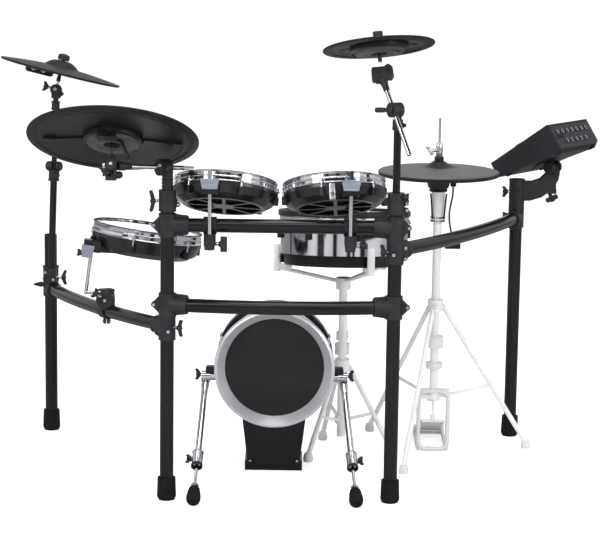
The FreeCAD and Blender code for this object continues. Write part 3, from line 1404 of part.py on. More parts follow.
wedge_outside = wedge("module_outside", "0", "module_width", *module)
wedge_inside = wedge("module_inside", "module_wall", "module_width - 2 * module_wall", *module)
module_eye = rod(
    "module_eye", "knuckle_d - 2 * fit_gap", "knuckle_width",
    *mount_head, at(x="-knuckle_width / 2", pitch="90"),
)
module_stalk = block(
    "module_stalk", "knuckle_width", "knuckle_d * 0.7", "module_belly - module_front",
    *mount_head, at(roll="module_tilt"),
)
module_plate = block(
    "module_plate", "knuckle_d * 4", "knuckle_d * 3", "module_wall",
    *mount_head, at(roll="module_tilt"),
    at(z="module_belly - (module_front + module_rear) / 2 - module_wall"),
)
case_walls = cut("module_walls", wedge_outside, [wedge_inside])
stalk_room = wedge("module_stalk_room", "module_wall / 2", "module_width - module_wall", *module)
bracket_body = fuse("module_bracket_body", [module_eye, module_stalk, module_plate])
bracket = cut("module_bracket", bracket_body, [stalk_room])
fuse("module_case", [case_walls, bracket])

panel_place = [*module, at(z="-panel_thickness")]
dial_spot = ("module_width * 0.28", "module_length * -0.10")
knob_spot = ("module_width * -0.36", "module_length * -0.24")
button_spot = ("module_width * 0.10", "module_length * -0.34")
panel_body = block("module_panel_body", "module_width", "module_length", "panel_thickness", *panel_place)
below = "-panel_thickness"
through = "panel_thickness * 3"
opening = "button_size + 2 * control_gap"
panel_holes = [
    rod("dial_hole", "dial_d * 0.4 + 2 * control_gap", through, *panel_place, at(*dial_spot, below)),
    rod("knob_hole", "knob_d * 0.4 + 2 * control_gap", through, *panel_place, at(*knob_spot, below)),
    block("button_hole", opening, opening, through, *panel_place, at(*button_spot, below)),
]
cut("module_panel", panel_body, panel_holes)
for label, spot_xy, width, height in (
    ("module_dial", dial_spot, "dial_d", "dial_height"),
    ("module_volume_knob", knob_spot, "knob_d", "knob_height"),
):
    spot_frame = [*module, at(spot_xy[0], spot_xy[1])]
    cap = turned(
        f"{label}_cap",
        [
            ("0", "fit_gap"),
            (f"{width} / 2", "fit_gap"),
            (f"{width} / 2 - control_gap * 2", f"{height} * 0.86"),
            (f"{width} / 2 - control_gap * 5", height),
            ("0", height),
        ],
        *spot_frame,
    )
    shaft = rod(
        f"{label}_shaft", f"{width} * 0.4", "panel_thickness + fit_gap * 2",
        *spot_frame, at(z="-panel_thickness"),
    )
    fuse(label, [cap, shaft])
block(
    "module_button", "button_size", "button_size", "panel_thickness + button_height - button_travel",
    *module, at(*button_spot, "-panel_thickness"),
)

# Files: one per node, once every piece is sound
doc.recompute()
NODES = [
    "front_posts", "cross_bars", "rack_clamps", "front_feet",
    "left_side_arm", "left_arm_clamps", "rear_left_leg",
    "right_side_arm", "right_arm_clamps", "rear_right_leg",
    "crash_1_tube", "crash_1_tilter", "crash_1_cymbal",
    "ride_boom_clamp", "ride_boom", "ride_tilter", "ride_cymbal",
    "crash_2_tube", "crash_2_boom", "crash_2_tilter", "crash_2_cymbal", "tom_clamps",
    *[f"tom_{n}_{piece}" for n in (1, 2, 3) for piece in ("rod", "frame", "hoop", "head")],
    "kick_shell", "kick_front_ring", "kick_front_panel", "kick_rear_hoop", "kick_head",
    "kick_stand", "kick_spur_left", "kick_spur_right",
    "snare_shell", "snare_base", "snare_hoop", "snare_head", "snare_basket", "snare_stand",
    "hihat_cymbal", "hihat_rod", "hihat_stand", "hihat_pedal", "hihat_lead", "hihat_lead_plug",
    "module_mount", "module_case", "module_panel", "module_dial", "module_volume_knob", "module_button",
]
failed = [o.Name for o in doc.Objects if {"Invalid", "Error"} & set(o.State)]
if failed:
    raise RuntimeError(f"these objects failed: {failed}")
os.makedirs("parts", exist_ok=True)
nodes = {}
for name in NODES:
    piece = doc.getObjectsByLabel(name)[0]
    if piece.Shape.isNull() or not piece.Shape.isValid() or not piece.Shape.Solids:
        raise RuntimeError(f"{name} has no sound solid")
    nodes[name] = piece
for name, piece in nodes.items():
    piece.Shape.exportStep(f"parts/{name}.step")
print(len(nodes), "nodes written")
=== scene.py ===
from math import cos, pi, radians, sin

import bmesh
import bpy
from mathutils import Matrix, Vector


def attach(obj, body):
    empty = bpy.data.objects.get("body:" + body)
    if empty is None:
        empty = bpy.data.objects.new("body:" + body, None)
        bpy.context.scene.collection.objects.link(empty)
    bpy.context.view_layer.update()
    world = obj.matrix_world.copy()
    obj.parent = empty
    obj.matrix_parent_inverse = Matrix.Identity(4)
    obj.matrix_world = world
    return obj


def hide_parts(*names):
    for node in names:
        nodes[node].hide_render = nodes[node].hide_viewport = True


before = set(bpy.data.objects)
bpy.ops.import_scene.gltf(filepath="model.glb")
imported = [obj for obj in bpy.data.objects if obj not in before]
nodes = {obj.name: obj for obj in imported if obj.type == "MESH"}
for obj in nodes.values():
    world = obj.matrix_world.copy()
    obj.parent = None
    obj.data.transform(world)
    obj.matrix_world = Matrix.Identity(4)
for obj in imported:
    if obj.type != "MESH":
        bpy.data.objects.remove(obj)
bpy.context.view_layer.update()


# Studio: a seamless pale floor, soft boxes above and at both sides, and a long lens at the height of
# a standing player, a little above the pads.
def colour(code):
    """An sRGB hex colour as linear RGBA."""
    values = [int(code[i : i + 2], 16) / 255 for i in (1, 3, 5)]
    return [v / 12.92 if v <= 0.04045 else ((v + 0.055) / 1.055) ** 2.4 for v in values] + [1.0]


def add(owner, kind, inputs=None, into=None, ramp=(), **settings):
    """Adds one shader node: inputs are values or linked outputs, into is the surface's own socket."""
    tree = owner.node_tree
    made = tree.nodes.new("ShaderNode" + kind)
    for name, value in settings.items():
        setattr(made, name, value)
    for name, value in (inputs or {}).items():
        if isinstance(value, bpy.types.NodeSocket):
            tree.links.new(value, made.inputs[name])
        else:
            made.inputs[name].default_value = value
    for position, code in ramp[2:]:
        made.color_ramp.elements.new(position)
    for stop, (position, code) in zip(made.color_ramp.elements if ramp else (), ramp):
        stop.position, stop.color = position, colour(code)
    if into:
        tree.links.new(made.outputs[0], tree.nodes["Principled BSDF"].inputs[into])
    return made


floor_mesh = bpy.data.meshes.new("studio_floor")
floor_mesh.from_pydata([(-90, -60, 0), (90, -60, 0), (90, 120, 0), (-90, 120, 0)], [], [(0, 1, 2, 3)])
floor = bpy.data.objects.new("studio_floor", floor_mesh)
floor.location.z = -0.0006
bpy.context.scene.collection.objects.link(floor)
# The dark end of the room, behind the camera, has tall windows side by side
windows = (
    (0.0, "#ffffff"), (0.10, "#ffffff"), (0.13, "#3a3a3c"), (0.19, "#3a3a3c"), (0.21, "#ffffff"),
    (0.31, "#e6e6ea"), (0.33, "#101012"), (0.37, "#101012"), (0.39, "#dcdce2"), (0.52, "#eeeef2"),
    (0.54, "#101012"), (0.58, "#101012"), (0.60, "#dedee4"), (0.72, "#ffffff"), (0.74, "#2a2a2c"),
    (0.80, "#2a2a2c"), (0.83, "#ffffff"), (1.0, "#ffffff"),
)
# Matt white paper: it shows as white to the eye and still takes the shadows. To glossy rays its colour is
# painted: a dimmer grey as painted shade, and at its far end, 2 m in front, painted stripes of window light.
paper = bpy.data.materials.new("Studio paper")
paper.use_nodes = True
paper.node_tree.nodes.clear()
path = add(paper, "LightPath")
rays = {0: path.outputs["Is Camera Ray"], 1: path.outputs["Is Transmission Ray"]}
seen = add(paper, "Math", rays, operation="ADD")
lift = add(paper, "Math", {0: seen.outputs[0], 1: 0.52}, operation="MULTIPLY", use_clamp=True)
way = add(paper, "SeparateXYZ", {"Vector": add(paper, "TexCoord").outputs["Object"]})
across = add(paper, "MapRange", {"Value": way.outputs["X"], "From Min": -4.5, "From Max": 4.5})
# painted reflection: stripes of light standing for the windows are painted into the floor colour that glossy
# rays see
painted_window_stripes = add(paper, "ValToRGB", {"Fac": across.outputs[0]}, ramp=windows)
painted_stripe_fade = add(paper, "MapRange", {"Value": way.outputs["Y"], "From Min": -2.6, "From Max": -1.4})
painted_reflection_mix = {"Fac": painted_stripe_fade.outputs[0], "Color1": painted_window_stripes.outputs[0], "Color2": colour("#b2b2b6")}
# painted shade: glossy rays see the floor nearer than 1.4 m as a painted grey, #b2b2b6, and beyond 2.6 m the
# painted stripes
painted_reflection_colour = add(paper, "MixRGB", painted_reflection_mix)
shade = {"Fac": path.outputs["Is Glossy Ray"], "Color1": colour("#f4f4f5"), "Color2": painted_reflection_colour.outputs[0]}
lit = add(paper, "BsdfDiffuse", {"Color": add(paper, "MixRGB", shade).outputs[0]})
glow = add(paper, "Emission", {"Color": (1, 1, 1, 1), "Strength": lift.outputs[0]})
both = add(paper, "AddShader", {0: lit.outputs[0], 1: glow.outputs[0]})
add(paper, "OutputMaterial", {"Surface": both.outputs[0]})
floor_mesh.materials.append(paper)

# White all round to the eye. Polished metal also sees the windows at the dark end of the room and the
# dark ceiling.
world = bpy.data.worlds.new("studio")
world.use_nodes = True
world.node_tree.nodes.clear()
path = add(world, "LightPath")
way = add(world, "SeparateXYZ", {"Vector": add(world, "TexCoord").outputs["Generated"]})
across = add(world, "MapRange", {"Value": way.outputs["X"], "From Min": -1.0, "From Max": 1.0})
room = add(world, "ValToRGB", {"Fac": across.outputs[0]}, ramp=windows)
high = add(world, "MapRange", {"Value": way.outputs["Z"], "From Min": 0.30, "From Max": 0.50})
room = add(world, "MixRGB", {"Fac": high.outputs[0], "Color1": room.outputs[0], "Color2": colour("#1c1c1e")})
far = add(world, "MapRange", {"Value": way.outputs["Y"], "From Min": -0.1, "From Max": 0.3})
room = add(world, "MixRGB", {"Fac": far.outputs[0], "Color1": room.outputs[0], "Color2": colour("#e0e0e3")})
views = {"Fac": path.outputs["Is Glossy Ray"], "Color1": (1, 1, 1, 1), "Color2": room.outputs[0]}
seen = add(world, "MixRGB", views)
plain = add(world, "MapRange", {"Value": path.outputs["Is Diffuse Ray"], "To Min": 1.0, "To Max": 0.55})
sky = add(world, "Background", {"Color": seen.outputs[0], "Strength": plain.outputs[0]})
add(world, "OutputWorld", {"Surface": sky.outputs[0]})
bpy.context.scene.world = world

for name, spot, aim, size, depth, power in (
    ("key_box", (-3.6, -4.4, 3.6), (0, 0, 0.7), 2.6, 2.6, 120),
    ("fill_box", (4.2, -3.6, 2.4), (0, 0, 0.7), 2.0, 2.0, 70),
    ("top_box", (0.0, -0.6, 4.2), (0, -0.1, 0.7), 2.6, 2.6, 90),
    ("strip_box", (0.0, -3.0, 3.4), (0, -0.2, 0.7), 5.0, 0.35, 50),
):
    lamp = bpy.data.lights.new(name, "AREA")
    lamp.shape, lamp.size, lamp.size_y, lamp.energy = "RECTANGLE", size, depth, power
    box = bpy.data.objects.new(name, lamp)
    box.location = spot
    box.rotation_euler = (Vector(aim) - Vector(spot)).to_track_quat("-Z", "Y").to_euler()
    bpy.context.scene.collection.objects.link(box)

lens = bpy.data.cameras.new("camera")
lens.lens, lens.sensor_width, lens.clip_end = 132.85, 36, 300
camera = bpy.data.objects.new("camera", lens)
pan, dip, bank = -0.124, 9.998, 0.801
camera.matrix_world = (
    Matrix.Translation((0.05605, -6.31757, 1.69990))
    @ Matrix.Rotation(radians(pan), 4, "Z")
    @ Matrix.Rotation(radians(90 - dip), 4, "X")
    @ Matrix.Rotation(radians(bank), 4, "Z")
)
bpy.context.scene.collection.objects.link(camera)
bpy.context.scene.camera = camera
bpy.context.scene.view_settings.view_transform = "Standard"


# Front posts, cross bars and feet: drawn steel tube, 38 mm across, powder-coated satin black, in
# moulded rubber boots pushed over the ends.
def finish_of(name, **sockets):
    """A new material whose surface sockets are set; a socket's name is written with underscores."""
    made = bpy.data.materials.new(name)
    made.use_nodes = True
    for socket, value in sockets.items():
        made.node_tree.nodes["Principled BSDF"].inputs[socket.replace("_", " ")].default_value = value
    return made


def dress(name, *materials, pick=None):
    """Gives a CAD node its finishes; pick chooses one for a face by its centre in millimetres."""
    mesh = nodes[name].data
    mesh.materials.clear()
    for material in materials:
        mesh.materials.append(material)
    for face in mesh.polygons:
        face.material_index = pick(face.center * 1000) if pick else 0


# Baked powder coat has a faint orange peel, 2 mm across, drawn at 5 mm so that it breaks the highlights
steel = finish_of("Powder-coated steel", Specular_IOR_Level=0.36)
where = add(steel, "TexCoord").outputs["Object"]
peel = add(steel, "TexNoise", {"Vector": where, "Scale": 1 / 0.005, "Detail": 2.0}).outputs["Fac"]
haze = add(steel, "TexNoise", {"Vector": where, "Scale": 1 / 0.060, "Detail": 3.0}).outputs["Fac"]
add(steel, "ValToRGB", {"Fac": haze}, into="Base Color", ramp=((0.3, "#0c0c0d"), (0.7, "#121213")))
add(steel, "MapRange", {"Value": haze, "To Min": 0.17, "To Max": 0.26}, into="Roughness")
add(steel, "Bump", {"Height": peel, "Strength": 0.12, "Distance": 0.0005}, into="Normal")

# Moulded rubber is dull, with a grey bloom and a fine 1 mm skin drawn at 3 mm
rubber = finish_of("Moulded rubber", Roughness=0.7, Specular_IOR_Level=0.2)
where = add(rubber, "TexCoord").outputs["Object"]
bloom = add(rubber, "TexNoise", {"Vector": where, "Scale": 1 / 0.018, "Detail": 4.0}).outputs["Fac"]
skin = add(rubber, "TexNoise", {"Vector": where, "Scale": 1 / 0.003}).outputs["Fac"]
add(rubber, "ValToRGB", {"Fac": bloom}, into="Base Color", ramp=((0.35, "#0f0f10"), (0.75, "#171718")))
add(rubber, "Bump", {"Height": skin, "Strength": 0.2, "Distance": 0.0004}, into="Normal")

dress("front_posts", steel)
dress("cross_bars", steel)
dress("front_feet", rubber)


# Rack clamps: glass-filled nylon tees moulded in one piece, closed on the posts by steel bolts through
# paired ears, with a web under and over each socket.
def place(x=0, y=0, z=0, yaw=0, pitch=0, roll=0):
    """A place in millimetres, turned about Z, then Y, then X in degrees."""
    turn = Matrix.Rotation(radians(yaw), 4, "Z") @ Matrix.Rotation(radians(pitch), 4, "Y")
    return Matrix.Translation((x, y, z)) @ turn @ Matrix.Rotation(radians(roll), 4, "X")


def turned(mesh, spot, profile, finish=0, sides=40, sweep=(0, 360), closed=False):
    """A turned form: (radius, height) points about the spot's Z; finish is one index or one a run."""
    whole = sweep[1] - sweep[0] == 360
    count = sides if whole else sides + 1
    turns = [radians(sweep[0] + (sweep[1] - sweep[0]) * i / sides) for i in range(count)]
    rings = []
    for radius, height in profile:
        points = [Vector((radius * cos(a), radius * sin(a), height)) for a in (turns if radius else [0])]
        rings.append([mesh.verts.new(spot @ point) for point in points])
    runs = list(zip(rings, rings[1:] + rings[:1] if closed else rings[1:]))
    for number, (low, high) in enumerate(runs):
        for i in range(sides):
            j = (i + 1) % count
            corners = [low[i % len(low)], low[j % len(low)], high[j % len(high)], high[i % len(high)]]
            face = mesh.faces.new(list(dict.fromkeys(corners)))
            face.material_index = finish if isinstance(finish, int) else finish[number]
    if not whole:
        for end in (0, -1):
            mesh.faces.new([ring[end % len(ring)] for ring in rings])


def plate(mesh, spot, outline, low, high, finish=0):
    """A flat form: an outline in the spot's XY, from low to high along its Z."""
    bottom = [mesh.verts.new(spot @ Vector((x, y, low))) for x, y in outline]
    top = [mesh.verts.new(spot @ Vector((x, y, high))) for x, y in outline]
    faces = [mesh.faces.new(bottom), mesh.faces.new(top)]
    for i in range(len(outline)):
        j = (i + 1) % len(outline)
        faces.append(mesh.faces.new((bottom[i], bottom[j], top[j], top[i])))
    for face in faces:
        face.material_index = finish


def wire(mesh, points, radius, finish=0, sides=14):
    """A round bar through points in millimetres, mitred at the bends and closed at the ends."""
    points = [Vector(point) for point in points]
    rings, side = [], None
    for i, point in enumerate(points):
        ahead = (points[min(i + 1, len(points) - 1)] - point).normalized()
        behind = (point - points[max(i - 1, 0)]).normalized()
        along = (ahead + behind).normalized()
        side = side or along.orthogonal()
        side = (side - along * side.dot(along)).normalized()
        over = along.cross(side)
        stretch = 1 / max(0.4, (ahead if i < len(points) - 1 else behind).dot(along))
        ring = []
        for k in range(sides):
            out = side * cos(2 * pi * k / sides) + over * sin(2 * pi * k / sides)
            ring.append(mesh.verts.new(point + out * radius * stretch))
        rings.append(ring)
    faces = [mesh.faces.new(rings[0]), mesh.faces.new(rings[-1])]
    for low, high in zip(rings, rings[1:]):
        for k in range(sides):
            j = (k + 1) % sides
            faces.append(mesh.faces.new((low[k], low[j], high[j], high[k])))
    for face in faces:
        face.material_index = finish


def rounded(width, height, radius, steps=4):
    """The outline of a rectangle with round corners."""
    points = []
    for corner, (sx, sy) in enumerate(((1, 1), (-1, 1), (-1, -1), (1, -1))):
        for step in range(steps + 1):
            a = radians(90 * corner + 90 * step / steps)
            points.append(
                (sx * (width / 2 - radius) + radius * cos(a), sy * (height / 2 - radius) + radius * sin(a))
            )
    return points


def piece(name, mesh, body, slot, *materials, edge=0.5, replaces=(), spot=None):
    bmesh.ops.recalc_face_normals(mesh, faces=mesh.faces)
    for face in mesh.faces:
        face.smooth = True
    data = bpy.data.meshes.new(name)
    mesh.to_mesh(data)
    mesh.free()
    data.transform(Matrix.Scale(0.001, 4))
    for material in materials:
        data.materials.append(material)
    made = bpy.data.objects.new(name, data)
    if spot:
        made.matrix_world = Matrix.Translation(spot.translation * 0.001) @ spot.to_3x3().to_4x4()
    bpy.context.scene.collection.objects.link(made)
    soft = made.modifiers.new("worn_edges", "BEVEL")
    soft.width, soft.segments, soft.limit_method, soft.angle_limit = edge / 1000, 2, "ANGLE", radians(38)
    soft.harden_normals = True
    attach(made, body)
    if replaces:
        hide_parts(*replaces)
    return made


def bolt(mesh, spot, radius=5.0, finish=1):
    """A socket-head bolt, its head standing out along the spot's Z."""
    head = [(0, -4), (radius, -4), (radius, 2.2), (radius * 0.82, 3.4), (radius * 0.5, 3.4)]
    turned(mesh, spot, head + [(radius * 0.42, 1.4), (0, 1.4)], finish, 18)


def wing_bolt(mesh, spot, span=34.0, reach=16.0, finish=0, shaft=1):
    """A wing bolt: a steel shaft along the spot's Z and a moulded head with two wings along X."""
    turned(mesh, spot, [(0, -6), (4, -6), (4, reach), (0, reach)], shaft, 16)
    hub = [(0, reach - 5), (7.4, reach - 5), (8, reach - 3), (6.4, reach + 6), (4, reach + 9)]
    turned(mesh, spot, hub + [(0, reach + 9.6)], finish, 20)
    half = span / 2
    wing = [(3, -4), (half * 0.55, -2), (half * 0.95, 3), (half, 8)]
    wing += [(half * 0.86, 12), (half * 0.5, 9), (3, 7)]
    for way in (1, -1):
        plate(mesh, spot @ place(roll=90), [(way * x, reach + y) for x, y in wing], -2.6, 2.6, finish)


def ear(mesh, spot, width=9.0, half=11.0, reach=15.0, finish=0, metal=1):
    """A pair of clamp ears standing out along the spot's X, with a bolt across them along Y."""
    nose = min(7.5, half * 0.7)
    tip = [(reach - nose + nose * cos(radians(a)), nose * sin(radians(a))) for a in range(-80, 81, 16)]
    for low, high in ((-width, -1.2), (1.2, width)):
        plate(mesh, spot @ place(roll=90), [(-5, -half), *tip, (-5, half)], low, high, finish)
    for roll in (90, -90):
        across = spot @ place(x=reach - nose, roll=roll) @ place(z=width)
        bolt(mesh, across, 4.6, metal)


def collar(mesh, spot, radius, low, high, proud=1.8, finish=0):
    """A raised band round a sleeve between two heights."""
    inside, outside = radius - 0.4, radius + proud
    band = [(inside, low), (outside, low + 0.8), (outside, high - 0.8), (inside, high)]
    turned(mesh, spot, band, finish, 40, closed=True)


# Every clamp sleeve has this radius over the 38 mm tube, and the posts stand at these places
sleeve_r = 23.75
left_post, right_post = (-293, -372), (327, -372)


def tee_trim(mesh, spot, half, reach, ears=True):
    """The rims, webs and ears of a tee whose socket points along the spot's X."""
    for low in (half - 4, -half):
        collar(mesh, spot, sleeve_r, low, low + 4, 0.5)
    collar(mesh, spot @ place(pitch=90), sleeve_r, reach - 9, reach, 0.7)
    web = [(16, half - 1), (24.4, half - 1), (27, half - 3), (reach - 4, 26)]
    web += [(reach - 1, 24), (reach - 1, 18), (16, 18)]
    for way in (1, -1):
        plate(mesh, spot @ place(roll=90), [(x, way * y) for x, y in web], -8, 8)
    if ears:
        ear(mesh, spot @ place(x=-22, yaw=180), 8, half - 3, 22)


# Glass-filled nylon shows a spark-eroded mould skin, 1 mm across, drawn at 2.5 mm, and a soft sheen
nylon = finish_of("Glass-filled nylon", Specular_IOR_Level=0.3)
where = add(nylon, "TexCoord").outputs["Object"]
grit = add(nylon, "TexNoise", {"Vector": where, "Scale": 1 / 0.0025, "Detail": 3.0}).outputs["Fac"]
flow = add(nylon, "TexNoise", {"Vector": where, "Scale": 1 / 0.030, "Detail": 2.0}).outputs["Fac"]
add(nylon, "ValToRGB", {"Fac": flow}, into="Base Color", ramp=((0.3, "#202022"), (0.75, "#2a2a2d")))
add(nylon, "MapRange", {"Value": flow, "To Min": 0.40, "To Max": 0.58}, into="Roughness")
add(nylon, "Bump", {"Height": grit, "Strength": 0.25, "Distance": 0.0004}, into="Normal")

# Zinc-plated steel is bright grey with a cloudy bloom from the plating bath
zinc = finish_of("Zinc-plated steel", Metallic=1.0)
where = add(zinc, "TexCoord").outputs["Object"]
cloud = add(zinc, "TexNoise", {"Vector": where, "Scale": 1 / 0.008, "Detail": 4.0}).outputs["Fac"]
add(zinc, "ValToRGB", {"Fac": cloud}, into="Base Color", ramp=((0.3, "#a9adb5"), (0.7, "#d3d6dc")))
add(zinc, "MapRange", {"Value": cloud, "To Min": 0.18, "To Max": 0.36}, into="Roughness")

trim = bmesh.new()
for post, yaw in ((left_post, 0), (right_post, 180)):
    for bar_z in (770, 550):
        tee_trim(trim, place(*post, bar_z, yaw), 32, 58)
# The right post's top collar closes on the tube with two pairs of ears and a wing bolt
for low in (808, 862):
    collar(trim, place(*right_post), sleeve_r, low, low + 4, 0.6)
for ear_z in (820, 838):
    ear(trim, place(*right_post, ear_z) @ place(x=22), 7, 8, 13)
wing_bolt(trim, place(*right_post, 856, yaw=-35) @ place(x=22, pitch=90), 24, 8)
dress("rack_clamps", nylon)
piece("rack_clamp_trim", trim, "rack", "black_clamp", nylon, zinc)


# Left wing: a bent tube in two nylon tees, a rear leg of the same tube in a rubber boot, a clamp for
# the first crash tube and one for the third tom's rod.
def boot_finish(leg):
    """Chooses rubber for the boot over a leg's foot, and steel for the tube."""
    return lambda c: int(c.z < 64 and (c.xy - Vector(leg)).length > 19.4)


left_leg = (-697, 401)
trim = bmesh.new()
tee_trim(trim, place(*left_post, 484.7, 126.5), 33, 52, ears=False)
wing_bolt(trim, place(*left_post, 490, yaw=-38) @ place(x=22, pitch=90), 48, 22)
bolt(trim, place(*left_post, 478, yaw=-80) @ place(x=23, pitch=90), 5)
tee_trim(trim, place(*left_leg, 448.5, -71.3), 24.5, 52, ears=False)
bolt(trim, place(-700, 401, 447, yaw=-90) @ place(x=23, pitch=90), 5)
lever = [(0, -5), (10, -8), (30, -3), (33, 0), (30, 3), (10, 8), (0, 5)]
plate(trim, place(-717, 398, 459, yaw=180, roll=90), lever, -5, 5)
for low in (474, 511):
    collar(trim, place(*left_leg), sleeve_r, low, low + 6)
wing_bolt(trim, place(-671, 362, 488, yaw=0) @ place(pitch=90), 46, 16)
bolt(trim, place(-708, 344, 505, roll=90), 4.5)
bolt(trim, place(-684, 344, 484, roll=90), 4.5)
tom_spot = place(-483.4, -78.2, 473.2, yaw=-150.6)
ear(trim, tom_spot @ place(z=34, yaw=60) @ place(x=12, pitch=-90), 9, 11, 16)
ear(trim, tom_spot @ place(z=-24, yaw=60) @ place(x=6, pitch=90), 9, 11, 14)
boss = place(-484, -101, 508, yaw=-12, roll=90)
turned(trim, boss, [(0, -6), (25, -6), (27, -3), (27, 10), (24, 13), (15, 13), (14, 10), (0, 10)], 0, 36)
bolt(trim, boss @ place(z=10), 5)
wing_bolt(trim, place(-502, -112, 522, yaw=180) @ place(pitch=60), 30, 10)
dress("left_side_arm", steel)
dress("left_arm_clamps", nylon)
dress("rear_left_leg", steel, rubber, pick=boot_finish(left_leg))
piece("left_wing_trim", trim, "left_wing", "black_clamp", nylon, zinc)

# Right wing: the same bent tube, tees and rear leg on the other side, set higher for the module.
right_leg = (731, 401)
trim = bmesh.new()
tee_trim(trim, place(*right_post, 704.7, 53.5), 33, 52, ears=False)
wing_bolt(trim, place(*right_post, 706, yaw=-142) @ place(x=22, pitch=90), 46, 18)
bolt(trim, place(*right_post, 698, yaw=-100) @ place(x=23, pitch=90), 5)
for ear_z in (686, 716):
    ear(trim, place(*right_post, ear_z, yaw=-8) @ place(x=22), 7, 8, 13)
tee_trim(trim, place(*right_leg, 682.5, 251.3), 25.5, 52, ears=False)
wing_bolt(trim, place(*right_leg, 694, yaw=195) @ place(x=22, pitch=90), 22, 12)
dress("right_side_arm", steel)
dress("right_arm_clamps", nylon)
dress("rear_right_leg", steel, rubber, pick=boot_finish(right_leg))
piece("right_wing_trim", trim, "right_wing", "black_clamp", nylon, zinc)

# First crash: a steel tube with a telescopic top part, a nylon tilter, and a rubber-faced pad on a
# moulded plate with its trigger box underneath, held by felts and a cap nut on the stem.

# Chrome plate mirrors the room, with faint smears where hands turn it
chrome = finish_of("Chrome plate", Metallic=1.0)
where = add(chrome, "TexCoord").outputs["Object"]
smear = add(chrome, "TexNoise", {"Vector": where, "Scale": 1 / 0.035, "Detail": 3.0}).outputs["Fac"]
add(chrome, "ValToRGB", {"Fac": smear}, into="Base Color", ramp=((0.3, "#c4c5c9"), (0.7, "#d4d5d9")))
add(chrome, "MapRange", {"Value": smear, "To Min": 0.04, "To Max": 0.11}, into="Roughness")

# Pressed wool felt is dull and fuzzy, its 1 mm fibres drawn at 2 mm
felt = finish_of("Wool felt", Roughness=0.95, Sheen_Weight=0.4, Specular_IOR_Level=0.1)
where = add(felt, "TexCoord").outputs["Object"]
fibre = add(felt, "TexNoise", {"Vector": where, "Scale": 1 / 0.002, "Detail": 5.0}).outputs["Fac"]
add(felt, "ValToRGB", {"Fac": fibre}, into="Base Color", ramp=((0.35, "#1d1d1e"), (0.7, "#3b3b3d")))
add(felt, "Bump", {"Height": fibre, "Strength": 0.5, "Distance": 0.0008}, into="Normal")

# Moulded playing rubber: satin, with the turning grooves of its mould, 1.5 mm apart, drawn at 4 mm
play_rubber = finish_of("Playing rubber", Specular_IOR_Level=0.28)
where = add(play_rubber, "TexCoord").outputs["Object"]
groove = add(
    play_rubber, "TexWave", {"Vector": where, "Scale": 2 * pi / (20 * 0.004), "Distortion": 0.0},
    wave_type="RINGS", rings_direction="Z",
).outputs["Fac"]
wear = add(play_rubber, "TexNoise", {"Vector": where, "Scale": 1 / 0.050, "Detail": 5.0}).outputs["Fac"]
add(play_rubber, "ValToRGB", {"Fac": wear}, into="Base Color", ramp=((0.3, "#121213"), (0.75, "#1a1a1b")))
add(play_rubber, "MapRange", {"Value": wear, "To Min": 0.42, "To Max": 0.6}, into="Roughness")
add(play_rubber, "Bump", {"Height": groove, "Strength": 0.2, "Distance": 0.0004}, into="Normal")

# Moulded ABS in satin black: an even mould texture, 0.8 mm grain drawn at 2 mm
abs_black = finish_of("Satin ABS", Specular_IOR_Level=0.28)
where = add(abs_black, "TexCoord").outputs["Object"]
grain = add(abs_black, "TexNoise", {"Vector": where, "Scale": 1 / 0.002, "Detail": 2.0}).outputs["Fac"]
sheen = add(abs_black, "TexNoise", {"Vector": where, "Scale": 1 / 0.045, "Detail": 2.0}).outputs["Fac"]
add(abs_black, "ValToRGB", {"Fac": sheen}, into="Base Color", ramp=((0.3, "#131314"), (0.75, "#1a1a1c")))
add(abs_black, "MapRange", {"Value": sheen, "To Min": 0.32, "To Max": 0.48}, into="Roughness")
add(abs_black, "Bump", {"Height": grain, "Strength": 0.12, "Distance": 0.0003}, into="Normal")

# The trigger housing is the same ABS in grey, as moulded
abs_grey = finish_of("Grey ABS", Specular_IOR_Level=0.4)
where = add(abs_grey, "TexCoord").outputs["Object"]
grain = add(abs_grey, "TexNoise", {"Vector": where, "Scale": 1 / 0.002, "Detail": 2.0}).outputs["Fac"]
sheen = add(abs_grey, "TexNoise", {"Vector": where, "Scale": 1 / 0.040, "Detail": 2.0}).outputs["Fac"]
add(abs_grey, "ValToRGB", {"Fac": sheen}, into="Base Color", ramp=((0.3, "#3b3c3f"), (0.75, "#494a4e")))
add(abs_grey, "MapRange", {"Value": sheen, "To Min": 0.42, "To Max": 0.56}, into="Roughness")
add(abs_grey, "Bump", {"Height": grain, "Strength": 0.12, "Distance": 0.0003}, into="Normal")


